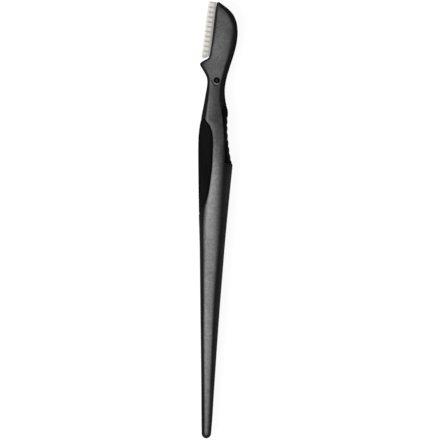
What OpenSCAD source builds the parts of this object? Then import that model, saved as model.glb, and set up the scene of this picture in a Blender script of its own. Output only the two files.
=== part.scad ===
// Eyebrow razor with a slim handle, a guarded steel blade and two soft grips.
// It lies on its back: +Y runs towards the head, the blade is on the -X side, +Z is the front.
// The origin is on the flat land of the back, on the handle's axis, half way along the razor.

/* [Lengths along the razor] */
// Tail end to the start of the grip
shank_l = 77.2; // [60:0.1:95]
// Start of the grip to the top of the thumb pad
grip_l = 32.4; // [28:0.1:40]
// Top of the thumb pad to the neck pin
neck_l = 13.5; // [12:0.1:18]
// Neck pin to the tip of the head
head_l = 26.9; // [26.5:0.1:28]
// Length of the rounding at the tail end
tail_round = 1.6; // [0.8:0.1:3]

/* [Widths from the axis] */
// Half width of the tail
tail_r = 1.6; // [1.2:0.05:2]
// Reach of the thumb side of the grip
thumb_reach = 5.8; // [5.2:0.05:6.6]
// Reach of the heel corner on the back edge
heel_reach = 6.3; // [5.8:0.05:7]
// Reach of the neck on the blade side
neck_reach_blade = 3.26; // [3:0.05:3.8]
// Reach of the neck on the back edge
neck_reach_back = 2.85; // [2.7:0.05:3.4]
// Reach of the chin under the blade
chin_reach = 5.95; // [5.6:0.05:6.6]
// Reach of the rounded back of the head
head_reach = 6.7; // [6.5:0.05:7.4]

/* [Thickness] */
// Half thickness of the grip
grip_half = 3.8; // [3.4:0.05:4.4]
// Half thickness of the head
head_half = 2.1; // [1.9:0.05:2.6]
// Depth of the flat land cut on the back
land_cut = 0.35; // [0.2:0.05:0.6]

/* [Head edge] */
// Distance of the straight edge from the axis at its lower end
edge_base_x = 2.67; // [2.4:0.01:2.9]
// Height of that lower end above the pin
edge_base_rise = 8.6; // [8.4:0.1:9.2]
// Lean of the straight edge towards the back
edge_lean = 5.7; // [4:0.1:7]
// Width of the bevel along the straight edge
edge_bevel = 0.6; // [0.4:0.05:0.9]

/* [Blade] */
// Thickness of the steel
blade_t = 0.3; // [0.2:0.02:0.4]
// Reach of the cutting edge beyond the head
blade_reach = 2.75; // [2.3:0.05:2.9]
// Depth of the blade inside the head
blade_depth = 3.6; // [3.2:0.1:3.9]
// Width of the ground bevel
grind_w = 0.65; // [0.4:0.05:0.9]
// Top end of the blade above the base of the edge
blade_top = 18.3; // [17.4:0.1:18.6]

/* [Guard] */
// Thickness of the guard sheet
guard_t = 0.15; // [0.1:0.01:0.2]
// Gap between the blade and each leaf
guard_gap = 0.02; // [0.01:0.01:0.04]
// Gap between the cutting edge and the inside of the fold
edge_gap = 0.05; // [0.03:0.01:0.12]
// Depth of the leaves inside the head
leaf_depth = 3; // [2.7:0.1:3.4]
// Width of the continuous rail beside the head
rail_w = 0.86; // [0.6:0.02:1.1]
// Width of one finger
finger_w = 0.6; // [0.45:0.05:0.8]
// Distance from one finger to the next
finger_pitch = 1.69; // [1.5:0.01:1.8]
// Number of windows between the fingers
window_count = 10; // [8:1:10]
// Centre of the lowest finger above the base of the edge
first_finger = 1.25; // [1.1:0.05:1.4]
// Drop of the point at the guard's lower end
point_drop = 1.4; // [1:0.05:1.5]
// Drop of the guard's outer corner
corner_drop = 0.5; // [0.3:0.05:0.7]
// Rise of the guard's lower end where it meets the head
heel_rise = -0.2; // [-0.25:0.05:0.4]

/* [Carrier] */
// Thickness of the blade carrier
carrier_t = 2; // [1.6:0.1:2.4]
// Width of the carrier
carrier_w = 4.3; // [4.1:0.1:4.6]
// Set-back of the carrier from the straight edge
carrier_setback = 0.3; // [0.2:0.05:0.5]
// Radius of the studs that hold the blade
stud_r = 0.75; // [0.5:0.05:0.9]
// Width of the tang that reaches the pin
tang_w = 2.8; // [2.4:0.1:3.2]
// Gap around the carrier
carrier_gap = 0.03; // [0.01:0.01:0.05]
// Lower end of the carrier above the base of the edge
carrier_low = 0.9; // [0.6:0.05:1]
// Upper end of the carrier above the base of the edge
carrier_high = 17.2; // [16.6:0.1:17.4]
// Size of the carrier's clipped upper corner
carrier_corner = 2.7; // [2.2:0.1:3.4]
// Wall between the carrier's ends and the roots of blade and guard
carrier_wall = 0.3; // [0.2:0.05:0.4]
// Distance of the studs from the inner edge of the guard's leaves
stud_inset = 1.1; // [1:0.05:1.3]

/* [Neck pin] */
// Radius of the pin's shaft
pin_r = 0.6; // [0.45:0.05:0.7]
// Radius of the pin's head
pin_head_r = 0.85; // [0.8:0.05:0.95]
// Thickness of the pin's head
pin_head_t = 0.45; // [0.3:0.05:0.6]
// Radius of the recess round the pin
recess_r = 1.03; // [1:0.01:1.15]
// Depth of the recess
recess_depth = 0.8; // [0.7:0.05:0.95]
// Running gap round the pin's shaft
pin_gap = 0.02; // [0.01:0.01:0.04]
// Plastic left under the pin at the back
pin_floor = 0.5; // [0.3:0.05:0.8]

/* [Head cover] */
// Radius of the cover's rounded lower end
cover_end_r = 1.85; // [1.7:0.05:2.1]
// Bevel on that rounded end
cover_end_bevel = 0.55; // [0.3:0.05:0.6]
// Height of the cover's shoulders above the pin
shoulder_rise = 0.55; // [0.3:0.05:0.8]
// Seam between the cover and the handle
seam = 0.08; // [0.04:0.01:0.15]
// Depth of the groove along the seam
seam_depth = 0.35; // [0.2:0.05:0.5]
// Width of the groove along the seam
seam_w = 0.3; // [0.2:0.05:0.45]

/* [Soft grips] */
// Thickness of the soft pads
pad_t = 1; // [0.7:0.05:1.3]
// Depth of the thumb pad's surface under the face
pad_sink = 0.05; // [0.03:0.01:0.2]
// Length of the pointed lower end of the thumb pad
pad_point_l = 7; // [5:0.5:10]
// Number of grooves across the rear grip
groove_count = 7; // [5:1:8]
// Distance from one groove to the next
groove_pitch = 2.36; // [2.1:0.02:2.4]
// Depth of the grooves
groove_depth = 0.16; // [0.1:0.01:0.4]
// Distance of the lowest groove from the heel corner
groove_start = 2; // [1.6:0.1:2.4]
// Distance of the strip's lower end from the heel corner
strip_start = 0.7; // [0.4:0.1:1.2]
// Length of the ribbed strip
strip_l = 20; // [19.5:0.1:21]

/* [Hidden] */

// Overrun of every cut past the surface it opens
over = 1;
// Points across the face, across each facet, and round each circle
face_steps = 4;
facet_steps = 3;
round_fn = 64;

plastic = [0.30, 0.30, 0.31];
soft = [0.11, 0.11, 0.11];
steel = [0.86, 0.85, 0.83];
dark_plastic = [0.12, 0.12, 0.12];

y_grip = shank_l;
y_neck = y_grip + grip_l;
y_pin = y_neck + neck_l;
y_tip = y_pin + head_l;
total_l = y_tip;
mid_z = grip_half - land_cut;

// The straight edge of the head, as a distance from the axis towards the blade side
edge_y = y_pin + edge_base_rise;
function edge_x(y) = edge_base_x - tan(edge_lean) * (y - edge_y);

// Smooth curve through a table of [place, value], with no overshoot between its points
function rise(t, i) = (t[i + 1][1] - t[i][1]) / (t[i + 1][0] - t[i][0]);
function slope(t, i) =
    i == 0 ? rise(t, 0) :
    i == len(t) - 1 ? rise(t, i - 1) :
    rise(t, i - 1) * rise(t, i) <= 0 ? 0 :
    2 * rise(t, i - 1) * rise(t, i) / (rise(t, i - 1) + rise(t, i));
function span_of(t, y, i = 0) = i >= len(t) - 2 || y < t[i + 1][0] ? i : span_of(t, y, i + 1);
function along(t, y) =
    let (i = span_of(t, y), h = t[i + 1][0] - t[i][0], u = max(0, min(1, (y - t[i][0]) / h)))
    (2 * u ^ 3 - 3 * u ^ 2 + 1) * t[i][1] + (u ^ 3 - 2 * u ^ 2 + u) * h * slope(t, i)
    + (3 * u ^ 2 - 2 * u ^ 3) * t[i + 1][1] + (u ^ 3 - u ^ 2) * h * slope(t, i + 1);

// One zone of a table: shares of the zone's length and of a reach become lengths
function zone(start, length, reach, shares) = [for (s = shares) [start + s[0] * length, s[1] * reach]];

// The outline seen from the front, as distances from the axis
blade_shank_shares = [[0.09, 0.326], [0.27, 0.412], [0.59, 0.586], [0.875, 0.743]];
blade_grip_shares = [[0, 0.836], [0.51, 0.96], [0.7, 0.995], [0.79, 1], [0.89, 0.968], [0.957, 0.924],
    [1, 0.875]];
blade_neck_shares = [[0.2, 1.43], [0.35, 1.322], [0.66, 1.135], [0.81, 1.04], [0.94, 1]];
chin_shares = [[0.03, 0.575], [0.06, 0.635], [0.097, 0.725], [0.134, 0.83], [0.175, 0.945], [0.203, 1],
    [0.215, 0.988], [0.226, 0.935], [0.246, 0.815], [0.266, 0.65], [0.281, 0.555], [0.3, 0.49]];
tip_edge_shares = [[0.345, 0], [0.955, 0], [0.982, 0.07], [0.994, 0.2], [1, 0.42]];
blade_edge = concat(
    [[0, tail_r]],
    zone(0, shank_l, thumb_reach, blade_shank_shares),
    zone(y_grip, grip_l, thumb_reach, blade_grip_shares),
    zone(y_neck, neck_l, neck_reach_blade, blade_neck_shares),
    zone(y_pin, head_l, chin_reach, chin_shares),
    [for (s = tip_edge_shares) let (y = y_pin + s[0] * head_l) [y, edge_x(y) - s[1] * edge_bevel]]);

back_shank_shares = [[0.09, 0.312], [0.2, 0.355], [0.4, 0.446], [0.57, 0.533], [0.786, 0.667],
    [0.892, 0.735]];
back_grip_shares = [[0, 0.817], [0.253, 0.906], [0.47, 0.985], [0.505, 0.997], [0.52, 1], [0.535, 0.985],
    [0.574, 0.922], [0.636, 0.845], [0.7, 0.79], [0.765, 0.74], [0.827, 0.702], [0.892, 0.673], [1, 0.655]];
back_neck_shares = [[0.17, 1.48], [0.26, 1.42], [0.348, 1.305], [0.504, 1.123], [0.66, 1.025], [0.77, 1],
    [0.9, 1.045]];
back_head_shares = [[0, 0.473], [0.06, 0.522], [0.197, 0.67], [0.312, 0.804], [0.416, 0.91], [0.517, 0.979],
    [0.61, 1], [0.725, 0.952], [0.825, 0.801], [0.877, 0.653], [0.929, 0.425], [0.965, 0.23], [0.985, 0.115],
    [1, 0.03]];
back_edge = concat(
    [[0, tail_r]],
    zone(0, shank_l, heel_reach, back_shank_shares),
    zone(y_grip, grip_l, heel_reach, back_grip_shares),
    zone(y_neck, neck_l, neck_reach_back, back_neck_shares),
    zone(y_pin, head_l, head_reach, back_head_shares));

// The two creases that bound the front face
blade_crease_shank_shares = [[0, 0.1], [0.1, 0.147], [0.28, 0.2], [0.45, 0.276], [0.64, 0.352],
    [0.81, 0.465], [0.945, 0.52]];
blade_crease_grip_shares = [[0, 0.5], [0.083, 0.448], [0.136, 0.38], [0.19, 0.314], [0.296, 0.231],
    [0.404, 0.166], [0.51, 0.119], [0.614, 0.107], [0.722, 0.107], [0.806, 0.136], [0.873, 0.202],
    [0.935, 0.338], [1, 0.6]];
blade_crease_neck_shares = [[0.1, 1.028], [0.35, 0.92], [0.6, 0.82], [0.86, 0.75]];
blade_crease_chin_shares = [[0.035, 0.467], [0.105, 0.618], [0.17, 0.81], [0.195, 0.865], [0.215, 0.815],
    [0.237, 0.68], [0.26, 0.52], [0.285, 0.42]];
tip_crease_shares = [[0.345, 1], [0.94, 1], [1, 0.75]];
blade_crease = concat(
    zone(0, shank_l, thumb_reach, blade_crease_shank_shares),
    zone(y_grip, grip_l, thumb_reach, blade_crease_grip_shares),
    zone(y_neck, neck_l, neck_reach_blade, blade_crease_neck_shares),
    zone(y_pin, head_l, chin_reach, blade_crease_chin_shares),
    [for (s = tip_crease_shares) let (y = y_pin + s[0] * head_l) [y, edge_x(y) - s[1] * edge_bevel]]);

back_crease_shank_shares = [[0, 0.06], [0.1, 0.08], [0.28, 0.127], [0.45, 0.143], [0.64, 0.2], [0.81, 0.286],
    [0.945, 0.35]];
back_crease_grip_shares = [[0.09, 0.397], [0.3, 0.46], [0.51, 0.556], [0.61, 0.587], [0.72, 0.556],
    [0.83, 0.508], [0.935, 0.444]];
back_crease_neck_shares = [[0.1, 0.8], [0.35, 0.526], [0.6, 0.39], [0.86, 0.42]];
back_crease_head_shares = [[0.06, 0.272], [0.186, 0.395], [0.312, 0.534], [0.442, 0.63], [0.569, 0.7],
    [0.64, 0.732], [0.7, 0.714], [0.762, 0.626], [0.825, 0.503], [0.889, 0.324], [0.925, 0.15], [0.95, 0.05],
    [1, 0]];
back_crease = concat(
    zone(0, shank_l, heel_reach, back_crease_shank_shares),
    zone(y_grip, grip_l, heel_reach, back_crease_grip_shares),
    zone(y_neck, neck_l, neck_reach_back, back_crease_neck_shares),
    zone(y_pin, head_l, head_reach, back_crease_head_shares));

// Half thickness at the middle of the face
shank_height_shares = [[0.26, 0.6], [0.65, 0.84], [1, 0.97]];
grip_height_shares = [[0.45, 1], [0.85, 0.935], [1, 0.855]];
neck_height_shares = [[0.5, 1.26], [0.9, 1.07]];
head_height_shares = [[0.1, 1], [0.94, 1], [0.975, 0.82], [1, 0.58]];
half_height = concat(
    [[0, tail_r]],
    zone(0, shank_l, grip_half, shank_height_shares),
    zone(y_grip, grip_l, grip_half, grip_height_shares),
    zone(y_neck, neck_l, head_half, neck_height_shares),
    zone(y_pin, head_l, head_half, head_height_shares));

// Shares of the half thickness: crown of the face, half height of the side wall, roundness of the facets
crown_share = concat(
    zone(0, shank_l, 1, [[0, 0.08], [0.8, 0.1]]),
    zone(y_grip, grip_l, 1, [[0.3, 0.13], [0.9, 0.13]]),
    zone(y_neck, neck_l, 1, [[0.5, 0.14], [1, 0.1]]),
    [[y_tip, 0.05]]);
wall_share = concat(
    zone(0, shank_l, 1, [[0, 0.06], [0.8, 0.1]]),
    zone(y_grip, grip_l, 1, [[0.2, 0.18], [0.9, 0.2]]),
    zone(y_neck, neck_l, 1, [[0.5, 0.3], [1, 0.42]]),
    [[y_tip, 0.42]]);
blade_round_share = concat(
    zone(0, shank_l, 1, [[0, 0.75], [0.8, 0.6]]),
    zone(y_grip, grip_l, 1, [[0.15, 0.1], [0.5, -0.06], [0.85, 0], [1, 0.2]]),
    [[y_pin, 0.15], [y_tip, 0.15]]);
back_round_share = concat(
    zone(0, shank_l, 1, [[0, 0.75], [0.8, 0.6]]),
    zone(y_grip, grip_l, 1, [[0.5, 0.4], [1, 0.35]]),
    [[y_pin, 0.2], [y_tip, 0.15]]);

// Rounding of the tail end, down to a small flat
tail_flat_share = 0.2;
function tail_share(y) = y >= tail_round ? 1 : max(tail_flat_share, sqrt(1 - (1 - y / tail_round) ^ 2));

// A facet runs from a crease (u = 0) to the side wall (u = 1), part straight and part elliptic
function facet(crease, top, side, wall, roundness, u) = [
    crease + (side - crease) * ((1 - roundness) * u + roundness * sin(90 * u)),
    wall + (top - wall) * ((1 - roundness) * (1 - u) + roundness * cos(90 * u))];

function top_z(y) = along(half_height, y) * (1 - along(crown_share, y));
function wall_z(y) = along(half_height, y) * along(wall_share, y);
function blade_facet(y, u) =
    tail_share(y) * facet(-along(blade_crease, y), top_z(y), -along(blade_edge, y), wall_z(y),
        along(blade_round_share, y), u);
function back_facet(y, u) =
    tail_share(y) * facet(along(back_crease, y), top_z(y), along(back_edge, y), wall_z(y),
        along(back_round_share, y), u);
function face_point(y, w) =
    let (a = -along(blade_crease, y), b = along(back_crease, y))
    tail_share(y) * [(a + b) / 2 + w * (b - a) / 2,
        top_z(y) + along(half_height, y) * along(crown_share, y) * (1 - w ^ 2)];

function turned(points) = [for (i = [len(points) - 1:-1:0]) points[i]];
function mirrored(points) = [for (p = turned(points)) [p[0], -p[1]]];

// The section of the whole body at one place, front and back alike
function front_half(y) = concat(
    [for (i = [facet_steps:-1:1]) blade_facet(y, i / facet_steps)],
    [for (i = [0:face_steps]) face_point(y, 2 * i / face_steps - 1)],
    [for (i = [1:facet_steps]) back_facet(y, i / facet_steps)]);
function section(y) =
    let (half = front_half(y))
    concat(half, mirrored(half));

// The places along the razor at which its sections are drawn, with one at each corner of the outline
heel_share = 0.52;
chin_share = 0.203;
fillet_share = 0.345;
crown_start_share = 0.825;
heel_y = y_grip + heel_share * grip_l;
chin_y = y_pin + chin_share * head_l;
fillet_y = y_pin + fillet_share * head_l;
crown_y = y_pin + crown_start_share * head_l;
function steps(from, to, count) = [for (i = [0:count - 1]) from + (to - from) * i / count];
tail_places = [for (i = [0:4]) tail_round * (1 - cos(18 * i))];
shank_places = concat(tail_places, steps(tail_round, y_grip, 14));
grip_places = concat(steps(y_grip, heel_y, 9), steps(heel_y, y_neck, 10));
neck_places = steps(y_neck, y_pin, 9);
head_places = concat(steps(y_pin, chin_y, 6), steps(chin_y, fillet_y, 8), steps(fillet_y, crown_y, 8),
    steps(crown_y, y_tip, 10), [y_tip]);
places = concat(shank_places, grip_places, neck_places, head_places);

// The faces that close one end of a loft: a single polygon, or a row of quads across a shell
function plain_end(n) = [[for (j = [0:n - 1]) j]];
function shell_end(n) = [for (j = [0:n / 2 - 2]) [j, j + 1, n - 2 - j, n - 1 - j]];

// A solid through a row of rings of points, each ring in the plane of its place
module loft(at, rings, end) {
    n = len(rings[0]);
    last = len(rings) - 1;
    points = [for (i = [0:last]) for (p = rings[i]) [p[0], at[i] - total_l / 2, mid_z + p[1]]];
    sides = [for (i = [0:last - 1]) for (j = [0:n - 1]) let (a = i * n + j, b = i * n + (j + 1) % n)
        each [[a, a + n, b + n], [a, b + n, b]]];
    far_end = [for (face = end) [for (j = turned(face)) last * n + j]];
    polyhedron(points, concat(sides, end, far_end));
}

module body(at) {
    rings = [for (y = at) section(y)];
    loft(at, rings, plain_end(len(rings[0])));
}

module shell(at, rings) {
    loft(at, rings, shell_end(len(rings[0])));
}

// A pad that wraps one side of the body: its rings run round the outside and back round the inside
aim_share = 0.25;
function unit(v) = v / norm(v);
function inward(p, depth) = p + depth * unit([aim_share * p[0], 0] - p);
function wrap(points) = concat(points, mirrored(points));
function shell_ring(points, outer, inner) =
    concat([for (p = points) inward(p, outer)], [for (p = turned(points)) inward(p, inner)]);

pad_steps = 5;
pad_point_y = y_grip + pad_point_l;
pad_places = concat(steps(y_grip, pad_point_y, 7), steps(pad_point_y, y_neck, 16), [y_neck]);
pad_margin_share = 0.03;
pad_point_share = 0.85;
pad_point_power = 1.6;
function pad_from(y) =
    let (u = max(0, 1 - (y - y_grip) / pad_point_l))
    pad_margin_share + (pad_point_share - pad_margin_share) * u ^ pad_point_power;
function pad_line(y) =
    let (from = pad_from(y))
    wrap([for (i = [0:pad_steps]) blade_facet(y, from + (1 - from) * i / pad_steps)]);

strip_y = heel_y + strip_start;
strip_end = strip_y + strip_l;
strip_point_share = 0.7;
strip_point_l = strip_l / 6;
groove_steps = 6;
groove_y = heel_y + groove_start;
grooves_low = groove_y - groove_pitch / 2;
grooves_high = grooves_low + groove_count * groove_pitch;
groove_places = concat(steps(grooves_low, grooves_high, groove_count * groove_steps),
    steps(grooves_high, strip_end, 3));
strip_places = concat([strip_y], [for (y = groove_places) if (y > strip_y) y], [strip_end]);
function strip_from(y) =
    let (u = max(0, 1 - (strip_end - y) / strip_point_l))
    pad_margin_share + (strip_point_share - pad_margin_share) * u ^ 2;
function groove(y) =
    let (u = (y - groove_y) / groove_pitch)
    u < -1 / 2 || u > groove_count - 1 / 2 ? 0 : groove_depth * ((1 + cos(360 * u)) / 2) ^ 1.5;
function strip_line(y) =
    let (from = strip_from(y))
    wrap([for (i = [0:facet_steps]) back_facet(y, from + (1 - from) * i / facet_steps)]);

module thumb_grip() color(soft)
    shell(pad_places, [for (y = pad_places) turned(shell_ring(pad_line(y), pad_sink, pad_t))]);

module thumb_pocket()
    shell(pad_places, [for (y = pad_places) turned(shell_ring(pad_line(y), -over, pad_t))]);

module rear_grip() color(soft)
    shell(strip_places, [for (y = strip_places) shell_ring(strip_line(y), groove(y), pad_t)]);

module rear_pocket()
    shell(strip_places, [for (y = strip_places) shell_ring(strip_line(y), -over, pad_t)]);

// The frame of the blade: its Y runs up the head's straight edge, its -X points out of the head
module blade_frame() {
    translate([-edge_base_x, edge_y - total_l / 2, mid_z]) rotate([0, 0, -edge_lean]) children();
}

module at_pin() {
    translate([0, y_pin - total_l / 2, mid_z]) children();
}

// The space in front of the parting plane that belongs to the head cover
cover_room = head_reach + chin_reach;
module cover_zone(grow) {
    translate([-cover_room, y_pin + shoulder_rise - grow - total_l / 2, mid_z])
        cube([2 * cover_room, head_l + over, grip_half]);
    at_pin() cylinder(r = cover_end_r + grow, h = grip_half, $fn = round_fn);
}

module carrier_outline(grow) {
    blade_frame() translate([0, 0, -carrier_t / 2 - grow]) linear_extrude(carrier_t + 2 * grow)
        polygon([
            [carrier_setback - grow, carrier_low - grow],
            [carrier_setback - grow, carrier_high + grow],
            [carrier_w - carrier_corner, carrier_high + grow],
            [carrier_w + grow, carrier_high - carrier_corner],
            [carrier_w + grow, carrier_low - grow]]);
    tang_l = edge_base_rise + carrier_low;
    at_pin() translate([-tang_w / 2 - grow, 0, -carrier_t / 2 - grow])
        cube([tang_w + 2 * grow, tang_l, carrier_t + 2 * grow]);
    at_pin() translate([0, 0, -carrier_t / 2 - grow])
        cylinder(r = tang_w / 2 + grow, h = carrier_t + 2 * grow, $fn = round_fn);
}

// The stack of blade and guard, and the space it needs between the cheeks
stack_half = blade_t / 2 + guard_gap + guard_t;
root_low = carrier_low + carrier_wall;
root_high = carrier_high - carrier_wall;
module stack_slot(half) {
    blade_frame() translate([-over, root_low - carrier_gap, -half])
        cube([over + carrier_setback + over, root_high - root_low + 2 * carrier_gap, 2 * half]);
}

stud_x = leaf_depth - stud_inset;
stud_shares = [0.22, 0.78];
stud_ys = [for (s = stud_shares) root_low + s * (root_high - root_low)];

module pin_bore(r) {
    at_pin() translate([0, 0, pin_floor - head_half])
        cylinder(r = r, h = 2 * head_half, $fn = round_fn);
}

module handle() color(plastic) difference() {
    body(places);
    translate([-cover_room, -total_l, -grip_half]) cube([2 * cover_room, 2 * total_l, grip_half]);
    thumb_pocket();
    rear_pocket();
    cover_zone(seam);
    intersection() {
        at_pin() translate([0, 0, head_half - seam_depth])
            cylinder(r = cover_end_r + seam_w, h = grip_half, $fn = round_fn);
        at_pin() translate([-cover_room, -head_l, 0])
            cube([2 * cover_room, head_l + shoulder_rise, grip_half]);
    }
    carrier_outline(carrier_gap);
    stack_slot(stack_half + carrier_gap);
    pin_bore(pin_r);
}

// The raised land inside the cover that holds blade and guard down on the carrier
module clamp_land() {
    blade_frame() translate([carrier_setback + carrier_wall, root_low + carrier_wall, stack_half + guard_gap])
        cube([blade_depth, root_high - root_low - carrier_wall, carrier_t]);
}

module head_cover() color(plastic) difference() {
    intersection() {
        body(concat([for (y = neck_places) if (y > y_pin - 2 * cover_end_r) y], head_places));
        cover_zone(0);
    }
    difference() {
        carrier_outline(carrier_gap);
        clamp_land();
    }
    stack_slot(stack_half + carrier_gap);
    pin_bore(pin_r + pin_gap);
    at_pin() translate([0, 0, head_half - recess_depth])
        cylinder(r = recess_r, h = over + recess_depth, $fn = round_fn);
    intersection() {
        at_pin() translate([0, 0, head_half]) rotate_extrude($fn = round_fn)
            polygon([[cover_end_r + over, -cover_end_bevel - over], [cover_end_r + over, over],
                [cover_end_r - cover_end_bevel - over, over]]);
        at_pin() translate([-cover_room, -head_l, 0]) cube([2 * cover_room, head_l, grip_half]);
    }
}

module blade_carrier() color(dark_plastic) {
    difference() {
        carrier_outline(0);
        blade_frame() translate([-over, root_low, -stack_half])
            cube([over + blade_depth, root_high - root_low, carrier_t]);
        pin_bore(pin_r + pin_gap);
    }
    blade_frame() for (y = stud_ys) translate([stud_x, y, -stack_half])
        cylinder(r = stud_r, h = 2 * stack_half, $fn = round_fn);
}

// Lower end of blade and guard, a V that stands clear of the chin
point_x_share = 0.7;
point_window_share = 1.3;
function lower_end(reach, inset) = [
    [-reach - over, inset - corner_drop],
    [-reach, inset - corner_drop],
    [-point_x_share * reach, inset - point_drop],
    [0, inset + heel_rise],
    [0, root_low],
    [blade_depth + over, root_low],
    [blade_depth + over, -point_drop - 2 * over],
    [-reach - over, -point_drop - 2 * over]];

module end_trim(reach, inset) {
    translate([0, 0, -over]) linear_extrude(2 * over) polygon(lower_end(reach, inset));
    translate([-seam, root_high, -over]) cube([blade_depth + over, blade_top, 2 * over]);
}

module blade() color(steel) blade_frame() difference() {
    low = -point_drop - over;
    translate([0, low, 0]) rotate([-90, 0, 0]) linear_extrude(blade_top - low)
        polygon([
            [-blade_reach, 0],
            [grind_w - blade_reach, blade_t / 2],
            [blade_depth - carrier_gap, blade_t / 2],
            [blade_depth - carrier_gap, -blade_t / 2],
            [grind_w - blade_reach, -blade_t / 2]]);
    end_trim(blade_reach, guard_t);
    for (y = stud_ys) translate([stud_x, y, -over])
        cylinder(r = stud_r + pin_gap, h = 2 * over, $fn = round_fn);
}

fold_in = blade_t / 2 + guard_gap;
fold_out = fold_in + guard_t;
fold_x = fold_in - blade_reach - edge_gap;
guard_reach = fold_out - fold_x;
guard_top = blade_top + guard_t;

module guard() color(steel) blade_frame() difference() {
    low = -point_drop - over;
    translate([0, low, 0]) rotate([-90, 0, 0]) linear_extrude(guard_top - low) difference() {
        union() {
            translate([fold_x, -fold_out]) square([leaf_depth - fold_x, 2 * fold_out]);
            translate([fold_x, 0]) circle(r = fold_out, $fn = round_fn);
        }
        translate([fold_x, -fold_in]) square([leaf_depth - fold_x + over, 2 * fold_in]);
        translate([fold_x, 0]) circle(r = fold_in, $fn = round_fn);
    }
    end_trim(guard_reach, 0);
    window_w = finger_pitch - finger_w;
    for (i = [0:window_count - 1]) translate([0, first_finger + (i + 0.5) * finger_pitch, -over]) {
        translate([-rail_w - window_w / 2, 0, 0]) cylinder(d = window_w, h = 2 * over, $fn = round_fn);
        translate([-guard_reach - over, -window_w / 2, 0])
            cube([guard_reach + over - rail_w - window_w / 2, window_w, 2 * over]);
    }
    translate([0, 0, -over]) linear_extrude(2 * over) polygon([
        [-point_x_share * guard_reach, point_window_share * finger_w - point_drop],
        [-rail_w - finger_w / 4, first_finger - finger_w / 2 - guard_t / 2],
        [finger_w / 2 - guard_reach, first_finger - finger_w / 2 - guard_t / 2]]);
    for (y = stud_ys) translate([stud_x, y, -over])
        cylinder(r = stud_r + pin_gap, h = 2 * over, $fn = round_fn);
}

// A headed pin with a low dome, pressed into the handle
dome_rise = pin_head_t / 3;
dome_r = (pin_head_r ^ 2 + dome_rise ^ 2) / (2 * dome_rise);
module neck_pin() color(dark_plastic) at_pin() {
    head_z = head_half - recess_depth;
    translate([0, 0, pin_floor - head_half])
        cylinder(r = pin_r, h = head_z + head_half - pin_floor, $fn = round_fn);
    intersection() {
        translate([0, 0, head_z]) cylinder(r = pin_head_r, h = pin_head_t, $fn = round_fn);
        translate([0, 0, head_z + pin_head_t - dome_r]) sphere(r = dome_r, $fn = round_fn);
    }
}

handle();
thumb_grip();
rear_grip();
head_cover();
blade_carrier();
blade();
guard();
neck_pin();
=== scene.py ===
import logging
import math
from dataclasses import dataclass, field
from enum import Enum

import bmesh
import bpy
import numpy as np
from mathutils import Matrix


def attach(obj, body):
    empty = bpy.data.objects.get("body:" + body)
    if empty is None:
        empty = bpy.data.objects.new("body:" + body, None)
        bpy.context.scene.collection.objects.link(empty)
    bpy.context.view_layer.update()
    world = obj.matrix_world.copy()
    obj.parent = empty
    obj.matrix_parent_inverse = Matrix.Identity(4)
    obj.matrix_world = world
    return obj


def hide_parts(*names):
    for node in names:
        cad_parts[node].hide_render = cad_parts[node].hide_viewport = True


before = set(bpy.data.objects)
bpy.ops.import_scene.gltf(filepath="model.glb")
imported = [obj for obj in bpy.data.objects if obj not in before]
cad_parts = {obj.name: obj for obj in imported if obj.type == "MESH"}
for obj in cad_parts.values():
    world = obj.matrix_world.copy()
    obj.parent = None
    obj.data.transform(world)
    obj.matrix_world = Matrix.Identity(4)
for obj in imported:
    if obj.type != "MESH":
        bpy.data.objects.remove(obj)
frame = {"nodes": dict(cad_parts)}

# The looks of an eyebrow razor that lies on its back. Lengths are in millimetres in the same
# frame as the solids, except that "y" counts from the tail end and "z" from the parting plane.
# MeshBuilder turns both into the frame's metres.

LOG = logging.getLogger("razor")
MM = 0.001
BODY = "root"
WHITE = (1, 1, 1, 1)
TINY = 1e-6
Array = np.ndarray
Socket = bpy.types.NodeSocket
Triple = tuple[float, float, float]


class Side(Enum):
    """The two long sides of the razor."""

    BLADE = -1
    BACK = 1


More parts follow.
